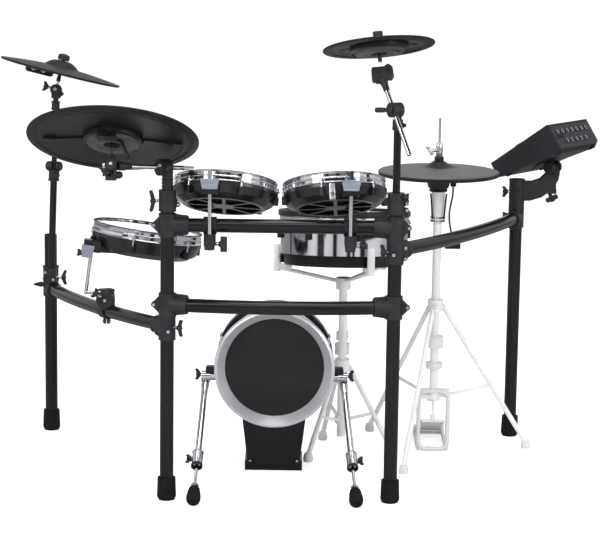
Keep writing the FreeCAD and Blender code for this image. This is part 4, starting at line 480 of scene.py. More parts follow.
def cymbal_pad(name, node, body, spot, edge, top, step):
    """A cymbal pad: bell and bow of rubber over a moulded plate, with a soft rim band under its edge."""
    hole_r, bell_r, rise = 6, 52, 12

    def bow(r):
        if r < bell_r:
            return rise + (top - rise) * (1 - (max(r - hole_r, 0) / (bell_r - hole_r)) ** 2.6)
        return rise * (1 - ((r - bell_r) / (edge - bell_r)) ** 1.4)

    inner = [6, 10, 15, 20, 26, 32, 38, 43, 47, 50, 53, 58, 66, 78, 95, 115]
    radii = [r for r in inner if r < edge - 40] + [edge - k for k in (34, 26, 18, 12, 7, 3.5, 1.4)]
    face = [(r, bow(r)) for r in radii] + [(edge - 0.2, -0.8), (edge, -2.2), (edge - 0.4, -3.8)]
    band = [(edge - 1.6, -5.2), (edge - 5, -6.4)]
    band += [(edge - k, bow(edge - k) - depth) for k, depth in ((22, 10.4), (24, 10.2))]
    under = [(edge - 24.8, bow(edge - 24) - 8.4)]
    ribs = ((27, 8.2), (36, 8.6), (37, 9.8), (41, 9.8), (42, 8.8))
    under += [(edge - k, bow(edge - k) - depth) for k, depth in ribs]
    under += [(r, bow(r) - 9) for r in reversed(radii) if r < edge - 44]
    profile = face + band + under
    finish = [0] * (len(face) + len(band)) + [1] * len(under)
    mesh = bmesh.new()
    turned(mesh, place(), profile, finish, 120, closed=True)
    # the plate's rear half is thicker, over the edge sensor, and ends in a straight step
    thick = [(r, bow(r) - 8.6) for r in (82, 100, edge - 47)]
    thick += [(r, bow(r) - 9 - step) for r in (edge - 48, 100, 83)]
    turned(mesh, place(), thick, 1, 60, (3, 177), True)
    # a deep step has a block at each end
    reach = edge - 62
    for way in (-1, 1) if step > 3 else ():
        plate(mesh, place(x=way * reach, y=5), rounded(34, 11, 4), bow(reach) - 12 - step, bow(reach) - 8, 1)
    return piece(
        name, mesh, body, "black_rubber", play_rubber, abs_black, edge=0.4, replaces=[node], spot=spot,
    )


def stem_finish(spot):
    """Chooses chrome, felt, nut or clamp along a cymbal stem."""
    back = spot.inverted()

    def pick(c):
        here = back @ c
        radius = (here.x**2 + here.y**2) ** 0.5
        if here.z < -16:
            return 0 if radius < 5 and here.z > -60 else 1
        return 1 if here.z > 24 else 2 if radius > 4.6 else 0

    return pick


crash_spot = place(-659.86, 364.55, 1119.91, pitch=13.6, roll=-4.5)
cymbal_pad("crash_1_pad", "crash_1_cymbal", "crash_1_pad", crash_spot, 183.5, 32, 1.6)
pod = bmesh.new()
box_x = -61.5
plate(pod, place(x=box_x), rounded(82, 66, 9), -21, 8.4)
plate(pod, place(x=box_x), rounded(74, 58, 8), -24, -20.5)
for jack_x in (-16, 14):
    jack = place(x=box_x + jack_x, y=-33, z=-10, roll=90)
    turned(pod, jack, [(0, -2), (7, -2), (7, 2.6), (5.6, 3.6), (3.4, 3.6), (3.2, -1), (0, -1)], 1, 22)
turned(pod, place(), [(14, 8), (30, 4), (34, -4), (32, -9), (18, -11), (14, -8)], 0, 36, closed=True)
piece("crash_1_trigger_box", pod, "crash_1_pad", "black_plastic", abs_black, zinc, spot=crash_spot)
dress("crash_1_tilter", chrome, nylon, felt, pick=stem_finish(crash_spot))
dress("crash_1_tube", steel, nylon, pick=lambda c: int(c.z > 1000 or 785 < c.z < 823))
trim = bmesh.new()
lean = place(-692, 360, 473.6, pitch=1.8)
for low in (313, 342):
    collar(trim, lean, 15.5, low, low + 5)
for way in (0, 180):
    hub = lean @ place(z=358, yaw=way) @ place(x=6, pitch=90)
    turned(trim, hub, [(0, 0), (15, 0), (15, 10), (12, 17), (6, 20), (0, 20)], 0, 24)
wing_bolt(trim, lean @ place(z=333, yaw=-60) @ place(x=14, pitch=90), 26, 10)
for low in (531, 550):
    collar(trim, lean, 11.6, low, low + 5)
piece("crash_1_tube_trim", trim, "crash_1_stand", "black_clamp", nylon, zinc)
trim = bmesh.new()
head = place(-673.46, 360, 1063.71, pitch=13.6, roll=-4.5)
wing_bolt(trim, head @ place(x=-10, z=2, pitch=-90), 30, 20)
turned(trim, head @ place(roll=90), [(0, -16), (15, -16), (17, -13), (17, 13), (15, 16), (0, 16)], 0, 32)
bolt(trim, head @ place(x=-2, y=-16, z=2, roll=90), 6)
plate(trim, head @ place(x=9, z=-8, pitch=45, roll=90), rounded(26, 24, 4), -13, 13)
nut = [(0, 33), (15.4, 33), (17, 35), (17, 46), (15, 50), (6, 53), (0, 53)]
turned(trim, crash_spot, nut, 0, 40)
for rib in range(12):
    plate(trim, crash_spot @ place(yaw=30 * rib) @ place(x=16.6), rounded(2.4, 4, 1, 2), 34.5, 47)
turned(trim, head @ place(z=26), [(4.2, 0), (6.4, 0), (6.6, 4), (5.2, 22), (4.2, 22)], 0, 24, closed=True)
piece("crash_1_tilter_trim", trim, "crash_1_tilter", "black_clamp", nylon, zinc)

# Ride: a swivel clamp on the left post, a chromed boom through it, and the largest pad, tipped so
# that its moulded underside and round trigger housing face the front.
dress("ride_boom_clamp", nylon)
boom = bmesh.new()
tip, pivot = Vector((-438.44, -463.36, 941.29)), Vector((-303, -372, 927))
along = (pivot - tip).normalized()
wire(boom, [tip + along * 24 - Vector((0, 0, 2)), tip + along * 60, pivot + along * 92], 6.35, 0, 24)
grip = Matrix.Translation(tip + along * 22) @ along.to_track_quat("Z", "Y").to_matrix().to_4x4()
turned(boom, grip, [(0, -2), (11, -2), (12, 0), (12, 18), (10, 24), (9, 38), (6.4, 40)], 1, 32)
fork = Matrix.Translation(tip)
for way in (-1, 1):
    plate(boom, fork @ place(x=way * 11.4, pitch=90) @ place(x=10), rounded(46, 25, 12), -3.4, 3.4, 1)
plate(boom, fork @ place(z=-32), rounded(30, 25, 8), -6, 5, 1)
socket = [(0, -4), (9, -4), (10, 0), (10, 26), (8, 32), (0, 32)]
turned(boom, fork @ place(z=-26) @ place(yaw=34, pitch=90), socket, 1, 28)
piece("ride_boom_bar", boom, "ride_boom", "chrome", chrome, nylon, replaces=["ride_boom"])
trim = bmesh.new()
sleeve = place(*left_post)
for low in (808, 862):
    collar(trim, sleeve, sleeve_r, low, low + 4, 0.6)
wing_bolt(trim, place(*left_post, 836, yaw=190) @ place(x=22, pitch=90) @ place(yaw=8), 60, 16)
ear(trim, place(*left_post, 826, yaw=10) @ place(x=22), 7, 9, 13)
swivel = place(*pivot)
wing_bolt(trim, swivel @ place(yaw=-70) @ place(x=21, pitch=90), 26, 5)
bolt(trim, swivel @ place(x=-10, y=-19, z=8, roll=90), 5)
for rib in range(3):
    collar(trim, sleeve, 15, 874 + 9 * rib, 878 + 9 * rib, 1.6)
piece("ride_clamp_trim", trim, "ride_clamp", "black_clamp", nylon, zinc)


def round_pod(name, body, spot, boxes, stop):
    """A round trigger housing under a pad, with any jack boxes and the stop that keeps it from turning."""
    mesh = bmesh.new()
    ring = [(23, 3), (80, 3), (80, -9), (78.4, -12), (70, -13.4), (67.6, -19), (65, -21.4), (40, -22.4)]
    ring += [(38, -20.8), (32, -20.8), (30, -22.4), (24.5, -22.4), (23, -21)]
    turned(mesh, place(), ring, [0] * 4 + [1] * 9, 72, closed=True)
    for box_x in boxes:
        plate(mesh, place(x=box_x, y=-62), rounded(52, 34, 6), -27, -6)
        jack = place(x=box_x - 8, y=-80, z=-17, roll=90)
        turned(mesh, jack, [(0, -3), (7, -3), (7, 1.4), (4, 1.4), (3.8, -2), (0, -2)], 0, 20)
    wire(mesh, stop, 5)
    for turn in (40, 160, 280):
        bolt(mesh, place(yaw=turn) @ place(x=74, z=-13.4, roll=180), 3.0, 0)
    return piece(name, mesh, body, "black_plastic", abs_black, abs_grey, edge=0.4, spot=spot)


ride_spot = place(-436.35, -425.80, 1011.90, pitch=1.7, roll=-28)
cymbal_pad("ride_pad", "ride_cymbal", "ride_pad", ride_spot, 231, 32, 5)
ride_stop = [(8, -40, -18), (26, -42, -26), (44, -38, -62), (50, -36, -76)]
round_pod("ride_trigger_housing", "ride_pad", ride_spot, (-12,), ride_stop)
dress("ride_tilter", chrome, nylon, felt, pick=stem_finish(ride_spot))
trim = bmesh.new()
head = place(*tip, pitch=1.7, roll=-28)
wing_bolt(trim, head @ place(x=-8, z=-8, pitch=-120), 30, 10)
bolt(trim, head @ place(y=-15, roll=90), 5)
eye = [(5, -2), (11, -2), (12, 0), (12, 6), (11, 8), (5, 8)]
turned(trim, head @ place(x=-14, pitch=-90), eye, 1, 28, closed=True)
turned(trim, head @ place(roll=90), [(0, -15), (14, -15), (16, -12), (16, 12), (14, 15), (0, 15)], 0, 32)
plate(trim, head @ place(x=4, z=14, pitch=-35, roll=90), rounded(24, 24, 6), -11, 11)
piece("ride_tilter_trim", trim, "ride_tilter", "black_clamp", nylon, zinc)

# Second crash: a steel tube in the right post, a boom clamped beside its head by a cross handle, and
# the smallest pad, tipped to the drummer.
dress("crash_2_tube", steel, nylon, pick=lambda c: int(c.z > 1068))


def boom_finish(c):
    """Nylon at the fork and the grip, rubber on the tail's end, chrome between."""
    fork, grip = Vector((281.4, -326.1, 1182.1)), Vector((314.9, -379.6, 1092))
    if (c - fork).length < 42 or (c - grip).length < 27:
        return 2
    return int(c.z < 968)


dress("crash_2_boom", chrome, rubber, nylon, pick=boom_finish)
trim = bmesh.new()
mast = place(*right_post)
collar(trim, mast, 10.3, 1036, 1066, 4)
collar(trim, mast, 10.3, 1040, 1046, 4.8)
ear(trim, mast @ place(z=1050, yaw=20) @ place(x=12), 6, 8, 11, metal=0)
piece("crash_2_tube_trim", trim, "crash_2_stand", "black_clamp", nylon, zinc)
trim = bmesh.new()
handle = place(304, -393, 1093, yaw=4) @ place(pitch=-90)
lever = [(0, -6), (9, -6), (9, 4), (5.4, 6), (5.4, 10), (6.8, 16), (7.2, 34), (5.4, 40), (0, 41)]
turned(trim, handle, lever, 0, 24)
fork_spot = (281.44, -326.07, 1182.11)
knuckle = place(*fork_spot, yaw=-58, pitch=145)
turned(trim, knuckle, [(0, 14), (12, 14), (12.6, 17), (10, 30), (8.6, 42), (8.6, 50), (0, 50)], 0, 28)
piece("crash_2_boom_trim", trim, "crash_2_boom", "black_clamp", nylon, zinc)
crash_spot = place(274.20, -306.54, 1257.27, pitch=-5.5, roll=-14.5)
cymbal_pad("crash_2_pad", "crash_2_cymbal", "crash_2_pad", crash_spot, 153, 23, 1.6)
crash_stop = [(34, -44, -18), (52, -26, -20), (70, 14, -14)]
round_pod("crash_2_trigger_housing", "crash_2_pad", crash_spot, (), crash_stop)
dress("crash_2_tilter", chrome, nylon, felt, pick=stem_finish(crash_spot))
trim = bmesh.new()
head = place(*fork_spot, pitch=-5.5, roll=-14.5)
plate(trim, head @ place(x=-6, roll=90), rounded(40, 40, 6), -14, 14)
for rib in range(5):
    plate(trim, head @ place(x=-20 + 6 * rib, y=-14.4), rounded(3, 4, 1.2, 2), -16, 16)
cheek = [(-12, -17), (8, -17), (14, -9), (12, 18), (2, 27), (-8, 24), (-12, 16)]
plate(trim, head @ place(x=20, roll=90), cheek, -10, 10)
bolt(trim, head @ place(x=22, y=-10, z=4, roll=90), 5, 0)
turned(trim, head @ place(z=34), [(4.2, 0), (5.2, 0), (5.6, 3), (5, 30), (4.2, 30)], 0, 24, closed=True)
piece("crash_2_tilter_trim", trim, "crash_2_tilter", "black_clamp", nylon, zinc)

# Toms: black moulded dishes on bent rods, each with a mesh head drawn tight by a flanged chrome hoop
# and six key bolts; a grey label plate covers the rod holder.

# Polyester mesh: white thread about 1 mm apart, drawn at 4 mm so that the weave shows
mesh_cloth = finish_of("Polyester mesh", Roughness=0.82, Specular_IOR_Level=0.2)
where = add(mesh_cloth, "TexCoord").outputs["Object"]
threads = {"Vector": where, "Scale": 2 * pi / (20 * 0.004)}
weft = add(mesh_cloth, "TexWave", threads, bands_direction="X").outputs["Fac"]
warp = add(mesh_cloth, "TexWave", threads, bands_direction="Y").outputs["Fac"]
weave = add(mesh_cloth, "Math", {0: weft, 1: warp}, operation="MULTIPLY").outputs[0]
add(mesh_cloth, "ValToRGB", {"Fac": weave}, into="Base Color", ramp=((0.1, "#f3f3f1"), (0.9, "#d9d9d8")))
add(mesh_cloth, "Bump", {"Height": weave, "Strength": 0.3, "Distance": 0.0005}, into="Normal")

# Anodised plate, brushed along its length: scratches 1 mm apart, drawn at 2 mm and 60 mm long
label = finish_of("Anodised plate", Metallic=0.55)
where = add(label, "TexCoord").outputs["Object"]
long = add(label, "Mapping", {"Vector": where, "Scale": (1 / 0.060, 1 / 0.002, 1 / 0.002)}).outputs[0]
brush = add(label, "TexNoise", {"Vector": long, "Scale": 1.0, "Detail": 3.0}).outputs["Fac"]
add(label, "ValToRGB", {"Fac": brush}, into="Base Color", ramp=((0.3, "#868c9b"), (0.7, "#a3a9b7")))
add(label, "MapRange", {"Value": brush, "To Min": 0.34, "To Max": 0.5}, into="Roughness")


def flanged_hoop(name, node, body, spot, edge, height, lugs, first, drop):
    """A triple-flanged hoop with its key bolts and the lugs that they draw it down to."""
    mesh = bmesh.new()
    low = -height
    lip = [(edge - 7.4, -2.4), (edge - 6.6, 0), (edge - 4.2, 0.8), (edge - 1.8, 0)]
    lip += [(edge - 1, -1.8), (edge - 1.8, -3.8)]
    wall = [(edge - 3.8, -5), (edge - 4.2, low * 0.44), (edge - 3, low * 0.47)]
    wall += [(edge - 2.6, low * 0.51), (edge - 3, low * 0.55), (edge - 4.2, low * 0.58)]
    foot = [(edge - 4.2, low + 4.6), (edge - 3, low + 3.4), (edge - 0.4, low + 3), (edge + 0.6, low + 1.8)]
    foot += [(edge + 0.2, low + 0.6), (edge - 1.4, low), (edge - 6.6, low + 0.4)]
    turned(mesh, place(), lip + wall + foot, [1] * 4 + [0] * 15, 110, closed=True)
    for number in range(lugs):
        turn = place(yaw=first + 360 * number / lugs)
        tab = [(edge - 5, -7), (edge + 4, -6), (edge + 8, -3), (edge + 8, 3), (edge + 4, 6), (edge - 5, 7)]
        plate(mesh, turn, tab, low + 0.4, low + 3.6)
        rod = turn @ place(x=edge + 2)
        turned(mesh, rod, [(0, low + 4), (5.2, low + 4), (5.2, low + 5.6), (0, low + 5.6)], 0, 18)
        plate(mesh, rod, rounded(6.4, 6.4, 0.8, 2), low + 5, low + 13)
        turned(mesh, rod, [(0, -drop), (2.8, -drop), (2.8, low + 2), (0, low + 2)], 0, 14)
        plate(mesh, turn @ place(x=edge - 2), rounded(17, 13, 3), -drop - 12, -drop + 10, 1)
    return piece(name, mesh, body, "chrome", chrome, abs_black, edge=0.4, replaces=[node], spot=spot)


# The dishes are ABS from a polished mould: glossy black with faint flow marks 40 mm long
dish_abs = finish_of("Polished ABS", Specular_IOR_Level=0.5)
where = add(dish_abs, "TexCoord").outputs["Object"]
flow = add(dish_abs, "TexNoise", {"Vector": where, "Scale": 1 / 0.040, "Detail": 3.0}).outputs["Fac"]
add(dish_abs, "ValToRGB", {"Fac": flow}, into="Base Color", ramp=((0.3, "#0f0f10"), (0.75, "#171718")))
add(dish_abs, "MapRange", {"Value": flow, "To Min": 0.18, "To Max": 0.30}, into="Roughness")
add(dish_abs, "Bump", {"Height": flow, "Strength": 0.05, "Distance": 0.0005}, into="Normal")

tom_2_spot = place(160, -262, 877, pitch=-3.7, roll=-20)
for name, spot, edge, first, drop in (
    ("tom_1", place(-138, -262, 877, pitch=3.7, roll=-20), 144.5, 228, 52),
    ("tom_2", tom_2_spot, 144.5, 256, 52),
    ("tom_3", place(-371.37, 16.78, 703.22, pitch=7.8, roll=-4), 160, 20, 56),
):
    dress(name + "_frame", dish_abs)
    dress(name + "_head", mesh_cloth)
    dress(name + "_rod", chrome)
    flanged_hoop(name + "_flanged_hoop", name + "_hoop", name + "_pad", spot, edge, 30, 6, first, drop)

sign = [(-26, 14), (26, 14), (20.5, -15), (-20.5, -15)]
rod_x, rod_y = {"tom_1": -177, "tom_2": 204}, -408
for name, x in rod_x.items():
    trim = bmesh.new()
    front = place(x, -421, 892, roll=90)
    plate(trim, front, [(px * 0.94, py * 0.94) for px, py in sign], 0, 4, 0)
    plate(trim, front, sign, 3.4, 6, 2)
    for way in (-1, 1):
        bolt(trim, place(x + way * 19, rod_y, 864, roll=90) @ place(z=14), 3.2, 0)
    plate(trim, front @ place(y=26), rounded(13, 26, 3), -3, 2.4, 3)
    piece(name + "_holder_plate", trim, name + "_pad", "black_plastic", nylon, zinc, label, chrome)
trim = bmesh.new()
jack_spot = tom_2_spot @ place(yaw=267) @ place(x=140)
plate(trim, jack_spot, rounded(14, 17, 3), -76, -33, 0)
jack = [(0, 0), (5.4, 0), (5.4, 3), (3.4, 3), (3.2, 0.6), (0, 0.6)]
turned(trim, jack_spot @ place(x=6, z=-62, pitch=90), jack, 1, 20)
piece("tom_2_jack_box", trim, "tom_2_pad", "chrome", zinc, abs_black)
trim = bmesh.new()
side = place(-527.06, -78.22, 644.30, pitch=7.8)
plate(trim, side @ place(x=-10, y=-16, z=2, roll=90), [(x * 0.72, y * 1.25) for x, y in sign], 0, 4, 2)
bolt(trim, side @ place(x=-26, z=10, pitch=-90), 5)
wing_bolt(trim, side @ place(x=-22, z=-8, pitch=-90), 20, 8)
piece("tom_3_holder_plate", trim, "tom_3_pad", "black_plastic", nylon, zinc, label)

# Each clamp is a nylon casting: a band round the bar, a block with a round boss for the rod, and a screw
# whose knob is wide at the first tom and short at the second
trim = bmesh.new()
boss = [(0, -15), (14, -15), (15.6, -12), (15.6, 14), (13.6, 18), (0, 18)]
for x, knob in zip(rod_x.values(), (43, 16)):
    bar_spot = place(x, -372, 770)
    band = [(19.3, -18), (22.6, -18), (sleeve_r, -16.6), (sleeve_r, 16.6), (22.6, 18), (19.3, 18)]
    turned(trim, bar_spot @ place(pitch=90), band, 0, 40, closed=True)
    plate(trim, place(x, -392, 0), rounded(32, 50, 10), 727, 751)
    plate(trim, place(x, rod_y), rounded(28, 27, 12), 709, 749)
    turned(trim, place(x, rod_y, 725, roll=90), boss, 0, 32)
    for low in (-18, 14):
        collar(trim, bar_spot @ place(pitch=90), sleeve_r, low, low + 4, 0.6)
    ear(trim, bar_spot @ place(y=-20, z=14, yaw=-90), 8, 9, 13, metal=0)
    bolt(trim, bar_spot @ place(x=8, y=-43, z=-46, roll=90), 5, 0)
    stem = place(x + 16, -400, 724, yaw=-12) @ place(pitch=90)
    turned(trim, stem, [(0, -4), (5, -4), (5, 16), (0, 16)], 1, 16)
    turned(trim, stem, [(0, 10), (8, 10), (8.6, 13), (7, 16), (0, 16)], 0, 22)
    plate(trim, stem @ place(z=15), rounded(knob, 14, 6.5), 0, 16)
piece("tom_clamp_castings", trim, "rack", "black_clamp", nylon, zinc, replaces=["tom_clamps"])

# Kick: a short chromed shell with a spun funnel ring round a black front panel, a rear hoop and head,
# a pressed steel stand, and two folding spurs with rubber tips.
kick_axis_z = 311

# Spun aluminium: fine turning marks round its axis, 0.5 mm apart, drawn at 3 mm
spun = finish_of("Spun aluminium", Metallic=0.6)
where = add(spun, "TexCoord").outputs["Object"]
axis = add(spun, "Mapping", {"Vector": where, "Location": (0, 0, -kick_axis_z / 1000)}).outputs[0]
marks = add(
    spun, "TexWave", {"Vector": axis, "Scale": 2 * pi / (20 * 0.003), "Distortion": 1.5, "Detail": 2.0},
    wave_type="RINGS", rings_direction="Y",
).outputs["Fac"]
add(spun, "ValToRGB", {"Fac": marks}, into="Base Color", ramp=((0.2, "#d6d7dc"), (0.8, "#e8e9ee")))
add(spun, "MapRange", {"Value": marks, "To Min": 0.30, "To Max": 0.40}, into="Roughness")
add(spun, "Bump", {"Height": marks, "Strength": 0.06, "Distance": 0.0002}, into="Normal")

# The front panel is calendered vinyl sheet, dull with a leather-like 2 mm emboss drawn at 4 mm
vinyl = finish_of("Embossed vinyl", Roughness=0.6, Specular_IOR_Level=0.22)
where = add(vinyl, "TexCoord").outputs["Object"]
emboss = add(vinyl, "TexVoronoi", {"Vector": where, "Scale": 1 / 0.004}).outputs["Distance"]
shade = add(vinyl, "TexNoise", {"Vector": where, "Scale": 1 / 0.080, "Detail": 3.0}).outputs["Fac"]
add(vinyl, "ValToRGB", {"Fac": shade}, into="Base Color", ramp=((0.3, "#212122"), (0.75, "#272728")))
add(vinyl, "Bump", {"Height": emboss, "Strength": 0.12, "Distance": 0.0004}, into="Normal")

dress("kick_shell", chrome)
dress("kick_front_ring", spun)
dress("kick_front_panel", vinyl)
dress("kick_rear_hoop", steel)
dress("kick_head", mesh_cloth)
dress("kick_stand", steel)
trim = bmesh.new()
axle = place(z=kick_axis_z, roll=90)
for number in range(8):
    turn = axle @ place(yaw=22.5 + 45 * number)
    rod = turn @ place(x=169)
    turned(trim, rod, [(0, -64), (2.8, -64), (2.8, 60), (0, 60)], 1, 12)
    plate(trim, turn @ place(x=166), rounded(12, 16, 3), -14, 14, 1)
    plate(trim, turn @ place(x=171), rounded(9, 14, 3), -80, -62, 1)
piece("kick_tension_rods", trim, "rack", "chrome", steel, chrome)
trim = bmesh.new()
for way in (-1, 1):
    lug = place(way * 68, -60, 26)
    plate(trim, lug, rounded(22, 16, 5), -7, 2)
    bolt(trim, lug @ place(z=2), 4)
plate(trim, place(0, -56, 100, roll=90), [(-84, 62), (84, 62), (68, -62), (-68, -62)], -1, 1.6)
piece("kick_stand_trim", trim, "rack", "black_steel", steel, zinc)
for side, way, splay in (("left", -1, -2.4), ("right", 1, 4.8)):
    hinge = place(way * 199, -40, 275)
    run = hinge @ place(yaw=splay, roll=122.8)
    dress("kick_spur_" + side, chrome, rubber, pick=lambda c, back=run.inverted(): int((back @ c).z > 431))
    trim = bmesh.new()
    collar(trim, run, 15, 298, 304, 1.2, 1)
    collar(trim, run, 14, 345, 354, 2.4)
    wing_bolt(trim, run @ place(z=324, yaw=90 - 90 * way) @ place(x=13, pitch=90), 30, 8)
    ferrule = [(4.9, 421), (10.4, 421), (11, 423), (11, 430), (12.4, 432), (4.9, 432)]
    turned(trim, run, ferrule, 1, 28, closed=True)
    foot = [(10.5, 433), (14.8, 435), (17.4, 446), (20, 464), (20, 473), (18, 480), (13, 485)]
    turned(trim, run, foot, 2, 36)
    socket = [(6.6, 20), (10, 20), (11.4, 24), (11.4, 42), (9.6, 48), (9.6, 68), (6.6, 70)]
    turned(trim, run, socket, 3, 28, closed=True)
    piece("kick_spur_trim_" + side, trim, "kick_spur_" + side, "black_clamp", nylon, zinc, rubber, chrome)
trim = bmesh.new()
for way in (-1, 1):
    wing_bolt(trim, place(way * 213, -44, 282, yaw=90 - 90 * way) @ place(pitch=90), 34, 6)
    plate(trim, place(way * 178, -40, 296, roll=90), rounded(44, 20, 6), -13, 13)
piece("kick_spur_hinge_trim", trim, "rack", "black_clamp", nylon, zinc)

# Snare: a chromed steel shell over a black base ring, under a deep flanged hoop with eight key bolts,
# held by the three rubber tips of a basket on a tripod stand.

# Pale stove enamel over steel: nearly white, with a slight 2 mm peel drawn at 5 mm
enamel = finish_of("Pale enamelled steel", Specular_IOR_Level=0.35)
where = add(enamel, "TexCoord").outputs["Object"]
peel = add(enamel, "TexNoise", {"Vector": where, "Scale": 1 / 0.005, "Detail": 2.0}).outputs["Fac"]
tone = add(enamel, "TexNoise", {"Vector": where, "Scale": 1 / 0.070, "Detail": 3.0}).outputs["Fac"]
add(enamel, "ValToRGB", {"Fac": tone}, into="Base Color", ramp=((0.3, "#e4e4e4"), (0.7, "#eeeeee")))
add(enamel, "MapRange", {"Value": tone, "To Min": 0.36, "To Max": 0.5}, into="Roughness")
add(enamel, "Bump", {"Height": peel, "Strength": 0.1, "Distance": 0.0004}, into="Normal")

# The stands' feet, collars and pedal are moulded in a pale grey rubber, dull, with a 1.5 mm skin drawn
# at 3 mm
pale_rubber = finish_of("Pale rubber", Roughness=0.6, Specular_IOR_Level=0.25)
where = add(pale_rubber, "TexCoord").outputs["Object"]
skin = add(pale_rubber, "TexNoise", {"Vector": where, "Scale": 1 / 0.003, "Detail": 2.0}).outputs["Fac"]
add(pale_rubber, "ValToRGB", {"Fac": skin}, into="Base Color", ramp=((0.3, "#d6d6d6"), (0.7, "#e0e0e0")))
add(pale_rubber, "Bump", {"Height": skin, "Strength": 0.15, "Distance": 0.0004}, into="Normal")

dress("snare_shell", chrome)
dress("snare_base", abs_black)
dress("snare_head", mesh_cloth)
dress("snare_basket", enamel)
dress("snare_stand", enamel, pale_rubber, pick=lambda c: int(c.z < 34))
drum = place(200, 192.57, 732.61, roll=-6.5)
flanged_hoop("snare_flanged_hoop", "snare_hoop", "snare", drum, 195.5, 40, 8, 11, 70)
# A rubber moulding is pressed over the hoop's top edge, and rubber pads line the basket's tips
trim = bmesh.new()
rim = [(186, -3), (187, 1), (190, 2.4), (194, 2), (196.4, -0.6)]
rim += [(196.8, -4), (196.4, -15), (194, -16.6), (191.4, -15)]
turned(trim, drum, rim, 1, 110, closed=True)
collar(trim, drum, 178, -136, -131, 1.0, 1)
for turn in (172, 292, 52):
    tip = drum @ place(z=-161.2, yaw=turn)
    plate(trim, tip @ place(x=184), rounded(10.6, 17, 3), 3, 28, 2)
    turned(trim, tip @ place(x=200.3), [(0, 50), (10, 50), (10.6, 52), (9.6, 56), (6, 58), (0, 58)], 0, 28)
    bolt(trim, tip @ place(x=206, z=-6, pitch=90), 5, 0)
for low, high, proud in ((262, 285, 6), (296, 330, 10), (340, 366, 6)):
    collar(trim, place(200, 192.57), 12.7, low, high, proud, 3)
piece("snare_base_trim", trim, "snare", "black_plastic", enamel, abs_black, rubber, pale_rubber)

# Hi-hat: a grey rubber pad on the pull rod of a pedal stand, clamped by a chrome clutch, over a
# sensor cup; its short lead hangs from the jack under the pad and ends in a connector.
hat_x, hat_y = 478, 203

# The same playing rubber, moulded in warm grey
hat_rubber = finish_of("Grey playing rubber", Specular_IOR_Level=0.4)
where = add(hat_rubber, "TexCoord").outputs["Object"]
groove = add(
    hat_rubber, "TexWave", {"Vector": where, "Scale": 2 * pi / (20 * 0.004), "Distortion": 0.0},
    wave_type="RINGS", rings_direction="Z",
).outputs["Fac"]
wear = add(hat_rubber, "TexNoise", {"Vector": where, "Scale": 1 / 0.050, "Detail": 5.0}).outputs["Fac"]
add(hat_rubber, "ValToRGB", {"Fac": wear}, into="Base Color", ramp=((0.3, "#4b4b49"), (0.75, "#5a5a57")))
add(hat_rubber, "MapRange", {"Value": wear, "To Min": 0.45, "To Max": 0.62}, into="Roughness")
add(hat_rubber, "Bump", {"Height": groove, "Strength": 0.2, "Distance": 0.0004}, into="Normal")

hat_spot = place(hat_x, hat_y, 854)
hat = bmesh.new()
bell = [(3.6, 30), (10, 30), (15, 29.2), (20, 26.4), (26, 22.6), (32, 19), (38, 15.8), (45, 13), (52, 11.8)]
bow = [(66, 10.8), (90, 9.2), (115, 7.4), (140, 5), (160, 2.6)]
bow += [(172, 0.8), (177, -0.6), (179.4, -2.6), (180, -5)]
rim = [(179.6, -10.6), (178, -13.2), (175, -14), (154, -14), (152.4, -13), (152, -8)]
under = [(140, -4), (115, -1.6), (90, 0.2), (66, 1.8), (50, 2.6), (44, 4), (33, 9), (18, 19), (3.6, 21)]
turned(hat, place(), bell + bow + rim + under, [1] * 8 + [0] * 8 + [1] * 17, 120, closed=True)
turned(hat, place(x=44), [(0, -46), (7.6, -46), (9, -44), (9, 2), (0, 2)], 1, 28)
turned(hat, place(x=44), [(4, -49), (6.4, -48.4), (7.4, -45), (4, -45)], 2, 24, closed=True)
piece(
    "hihat_pad", hat, "hihat_top", "hat_rubber", hat_rubber, abs_black, zinc,
    edge=0.4, replaces=["hihat_cymbal"], spot=hat_spot,
)


def rod_finish(c):
    """Nylon at the nuts, enamel below the sensor, chrome above it."""
    return 1 if 862 < c.z < 896 and (c.xy - Vector((hat_x, hat_y))).length > 4 else 2 if c.z < 700 else 0


def stand_finish(c):
    """The sensor's black cap, its chrome socket, the pale rubber feet, and enamel for the rest."""
    out = (c.xy - Vector((hat_x, hat_y))).length
    return 1 if c.z > 791.5 else 2 if 699 < c.z < 720 and out < 21 else 3 if c.z < 34 and out > 230 else 0


dress("hihat_rod", chrome, nylon, enamel, pick=rod_finish)
dress("hihat_pedal", pale_rubber)
dress("hihat_stand", enamel, abs_black, chrome, pale_rubber, pick=stand_finish)
trim = bmesh.new()
clutch = place(hat_x, hat_y)
nut = [(3.4, 884.6), (13, 884.6), (13.8, 887), (13.8, 894), (11, 897), (3.4, 897)]
turned(trim, clutch, nut, 1, 30, closed=True)
barrel = [(3.4, 897), (8.6, 897), (10, 900), (10, 928), (7.4, 936), (3.4, 937)]
turned(trim, clutch, barrel, 0, 30, closed=True)
wing_bolt(trim, place(hat_x, hat_y, 914, yaw=195) @ place(x=6, pitch=90) @ place(yaw=70), 48, 18, 0, 0)
cup = [(28, 838), (32, 838), (34, 834), (33, 812), (29.5, 803), (28, 803)]
turned(trim, clutch, cup, 1, 48, closed=True)
piece("hihat_clutch", trim, "hihat_top", "chrome", chrome, nylon)
trim = bmesh.new()
for way in (-1, 1):
    bends = ((24, 186, 787), (22, 182, 777), (17, 180, 712))
    wire(trim, [(hat_x + way * out, y, z) for out, y, z in bends], 2.6, 1)
for low in (702, 712):
    collar(trim, clutch, 20, low, low + 6, 3, 0)
collar(trim, clutch, 26, 793, 797, 1.6, 1)
wing_bolt(trim, place(hat_x, hat_y, 440, yaw=-90) @ place(x=20, pitch=90), 30, 8, 2, 2)
